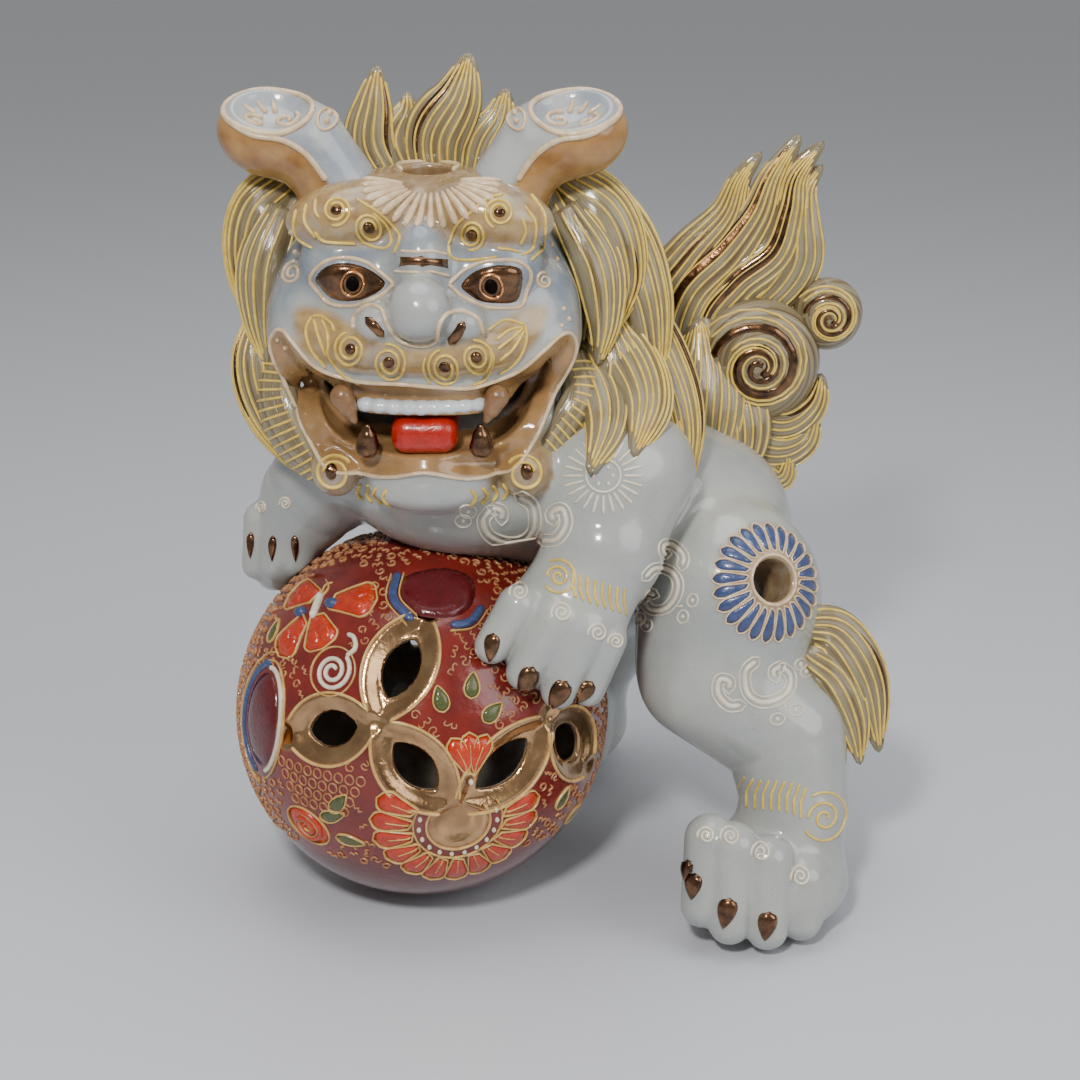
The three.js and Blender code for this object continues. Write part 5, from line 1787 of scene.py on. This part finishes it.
def red_rose(back):
    sheet = sheet_at(-36, -18, back, 9)
    ball_orange.patch(sheet, ellipse(0, 0, 7.2, 6.2, -20, 24), 0.4, 3)
    sheet.draw(ball_yellow, closed(ellipse(0, 0, 7.4, 6.4, -20, 24)), 0.55, 0.6)
    sheet.draw(ball_orange, spiral(0, 0, 5.6, 2, 100, -1, 0.15), 1.7, 1.2)
    sheet.draw(ball_yellow, spiral(0, 0, 4.6, 1.8, 100, -1, 0.15), 0.4, 1.0)
    for u, v, turn in [(6, 5, 20), (10, 8, 48), (9.5, -1, -12)]:
        bordered(sheet, ball_green, petal_outline(u, v, 9, 4, turn), ball_yellow, 0.5, 0.7)
    taken.append((sheet.directions([(11, 5)])[0], 7.0))


# Lone leaves: degrees round the ball and up it, and which way the leaf points.
LEAVES = [(19, 30, 75), (22, 23, 35), (10, 27, 100), (62, 27, 60), (60, -24, 40), (-66, 36, 110),
          (49, -13, 60)]


def green_leaves(back):
    for round_angle, above, turn in LEAVES:
        sheet = sheet_at(round_angle, above, back, 4.4)
        bordered(sheet, ball_green, petal_outline(0, -3.5, 7.5, 4.4, turn), ball_yellow, 0.55, 0.7)


def scale_rows(back):
    """Rows of little rings, like scales."""
    for row in range(4):
        for step in range(9 - row):
            sheet = sheet_at(-43 + step * 3.5 + row * 1.6, 2.5 - row * 3.6, back, 2.0)
            sheet.draw(ball_gold, closed(ellipse(0, 0, 1.3, 1.5, 0, 9)), 0.45, 0.5)


def window_borders():
    for out, lengthwise, _, reach in petal_frames():
        sheet = BallSheet(out, lengthwise)
        length, width = reach * 0.97 + 0.6, WINDOW_HALF_WIDTH + 0.7
        bow = (length**2 + width**2) / (2 * width)
        t = np.linspace(-0.86, 0.86, 26) * length
        for hand in (-1, 1):
            u = hand * (np.sqrt(bow**2 - t**2) - bow + width)
            sheet.draw(ball_yellow, np.stack([u, t], axis=1), 0.9, 0.75)


SCRIBBLES = [
    [(-1.8, 0.6), (-0.9, 1.7), (0.1, 0.7), (-0.8, -0.3), (0.6, -0.2), (1.5, -1.2), (0.4, -1.9)],
    [(-1.5, -1.4), (-1.9, 0.2), (-0.6, 1.4), (0.4, 0.4), (-0.5, -0.6), (0.6, -1.5), (1.8, -0.4)],
    [(-1.9, -0.4), (-0.8, 0.9), (0, -0.4), (0.9, 0.9), (1.9, -0.3)],
    [(0.9, 1.6), (-0.9, 1.2), (-1.1, -0.6), (0.6, -1.2), (1.3, 0.2), (0.2, 0.5)],
]


def ball_gap(one, other):
    """The way over the ball between two directions."""
    return math.acos(min(1.0, float(one @ other))) * BALL_RADIUS


def scribbles():
    """Curly fillings wherever the red ground is still bare."""
    rng = np.random.default_rng(7)
    count = 2600
    numbers = np.arange(count)
    z = 1 - 2 * (numbers + 0.5) / count
    angle = math.pi * (3 - math.sqrt(5)) * numbers
    outs = np.stack([np.sqrt(1 - z * z) * np.cos(angle), np.sqrt(1 - z * z) * np.sin(angle), z], axis=1)
    gilt = gilt_distance(list(outs.T * BALL_RADIUS))
    for number, out in enumerate(outs):
        kind, turn, size = rng.integers(len(SCRIBBLES)), rng.uniform(0, 360), rng.uniform(0.72, 0.98)
        if out[2] < -0.49 or out[2] > 0.985 or gilt[number] < 2.2:
            continue
        if any(ball_gap(out, place) < radius + 0.9 for place, radius in taken):
            continue
        line = moved(curve_through(SCRIBBLES[kind], 3), 0, 0, turn, size)
        BallSheet(out).draw(ball_gold, line, 0.5, 0.5)


window_borders()
for back in (False, True):
    for motif in (butterfly, swirl, side_panel, top_panel, great_flower, red_rose, green_leaves, scale_rows):
        motif(back)
scribbles()
for beads in (ball_yellow, ball_gold, ball_orange, ball_maroon, ball_green, ball_blue, ball_white):
    beads.finish()


# ---------------------------------------------------------------- camera, floor and light

VIEW_ELEVATION = math.radians(20)
VIEW_DISTANCE = 560.0
VIEW_TARGET = np.array([34.5, -33.1, 118.0])
VIEW_LENS = 69.4
SENSOR_WIDTH = 36

camera = bpy.data.objects.new("camera", bpy.data.cameras.new("camera"))
bpy.context.scene.collection.objects.link(camera)
back_off = np.array([0, -math.cos(VIEW_ELEVATION), math.sin(VIEW_ELEVATION)])
camera.location = Vector((VIEW_TARGET + VIEW_DISTANCE * back_off) * MM)
camera.rotation_euler = (math.pi / 2 - VIEW_ELEVATION, 0, 0)
camera.data.sensor_width = SENSOR_WIDTH
camera.data.lens = VIEW_LENS
camera.data.clip_start = 0.01
bpy.context.scene.camera = camera


LIGHT_AIM = (0.03, 0, 0.10)  # metres, as all that follows here


def area_light(name, place, size, power, colour=(1, 1, 1)):
    data = bpy.data.lights.new(name, "AREA")
    data.shape = "DISK"
    data.size = size
    data.energy = power
    data.color = colour
    light = bpy.data.objects.new(name, data)
    bpy.context.scene.collection.objects.link(light)
    light.location = place
    light.rotation_euler = (Vector(LIGHT_AIM) - Vector(place)).to_track_quat("-Z", "Y").to_euler()


area_light("key_light", (-0.10, -0.62, 0.62), 0.10, 5.5, (1.0, 0.97, 0.93))
area_light("fill_light", (0.75, -0.45, 0.55), 0.7, 4.0)
area_light("top_light", (0.0, 0.1, 1.0), 0.8, 5.0)

floor_mesh = bpy.data.meshes.new("floor")
FLOOR_REACH = 3
corners = [(-1, -1), (1, -1), (1, 1), (-1, 1)]
floor_mesh.from_pydata([(x * FLOOR_REACH, y * FLOOR_REACH, 0) for x, y in corners], [], [(0, 1, 2, 3)])
floor = bpy.data.objects.new("floor", floor_mesh)
bpy.context.scene.collection.objects.link(floor)
floor_look = Look("floor_matt", Roughness=0.35)
floor_mesh.materials.append(floor_look.finish((0.55, 0.57, 0.62)))

world = bpy.data.worlds.new("studio")
world.use_nodes = True
world.node_tree.nodes["Background"].inputs["Color"].default_value = (0.72, 0.72, 0.70, 1)
world.node_tree.nodes["Background"].inputs["Strength"].default_value = 0.5
bpy.context.scene.world = world
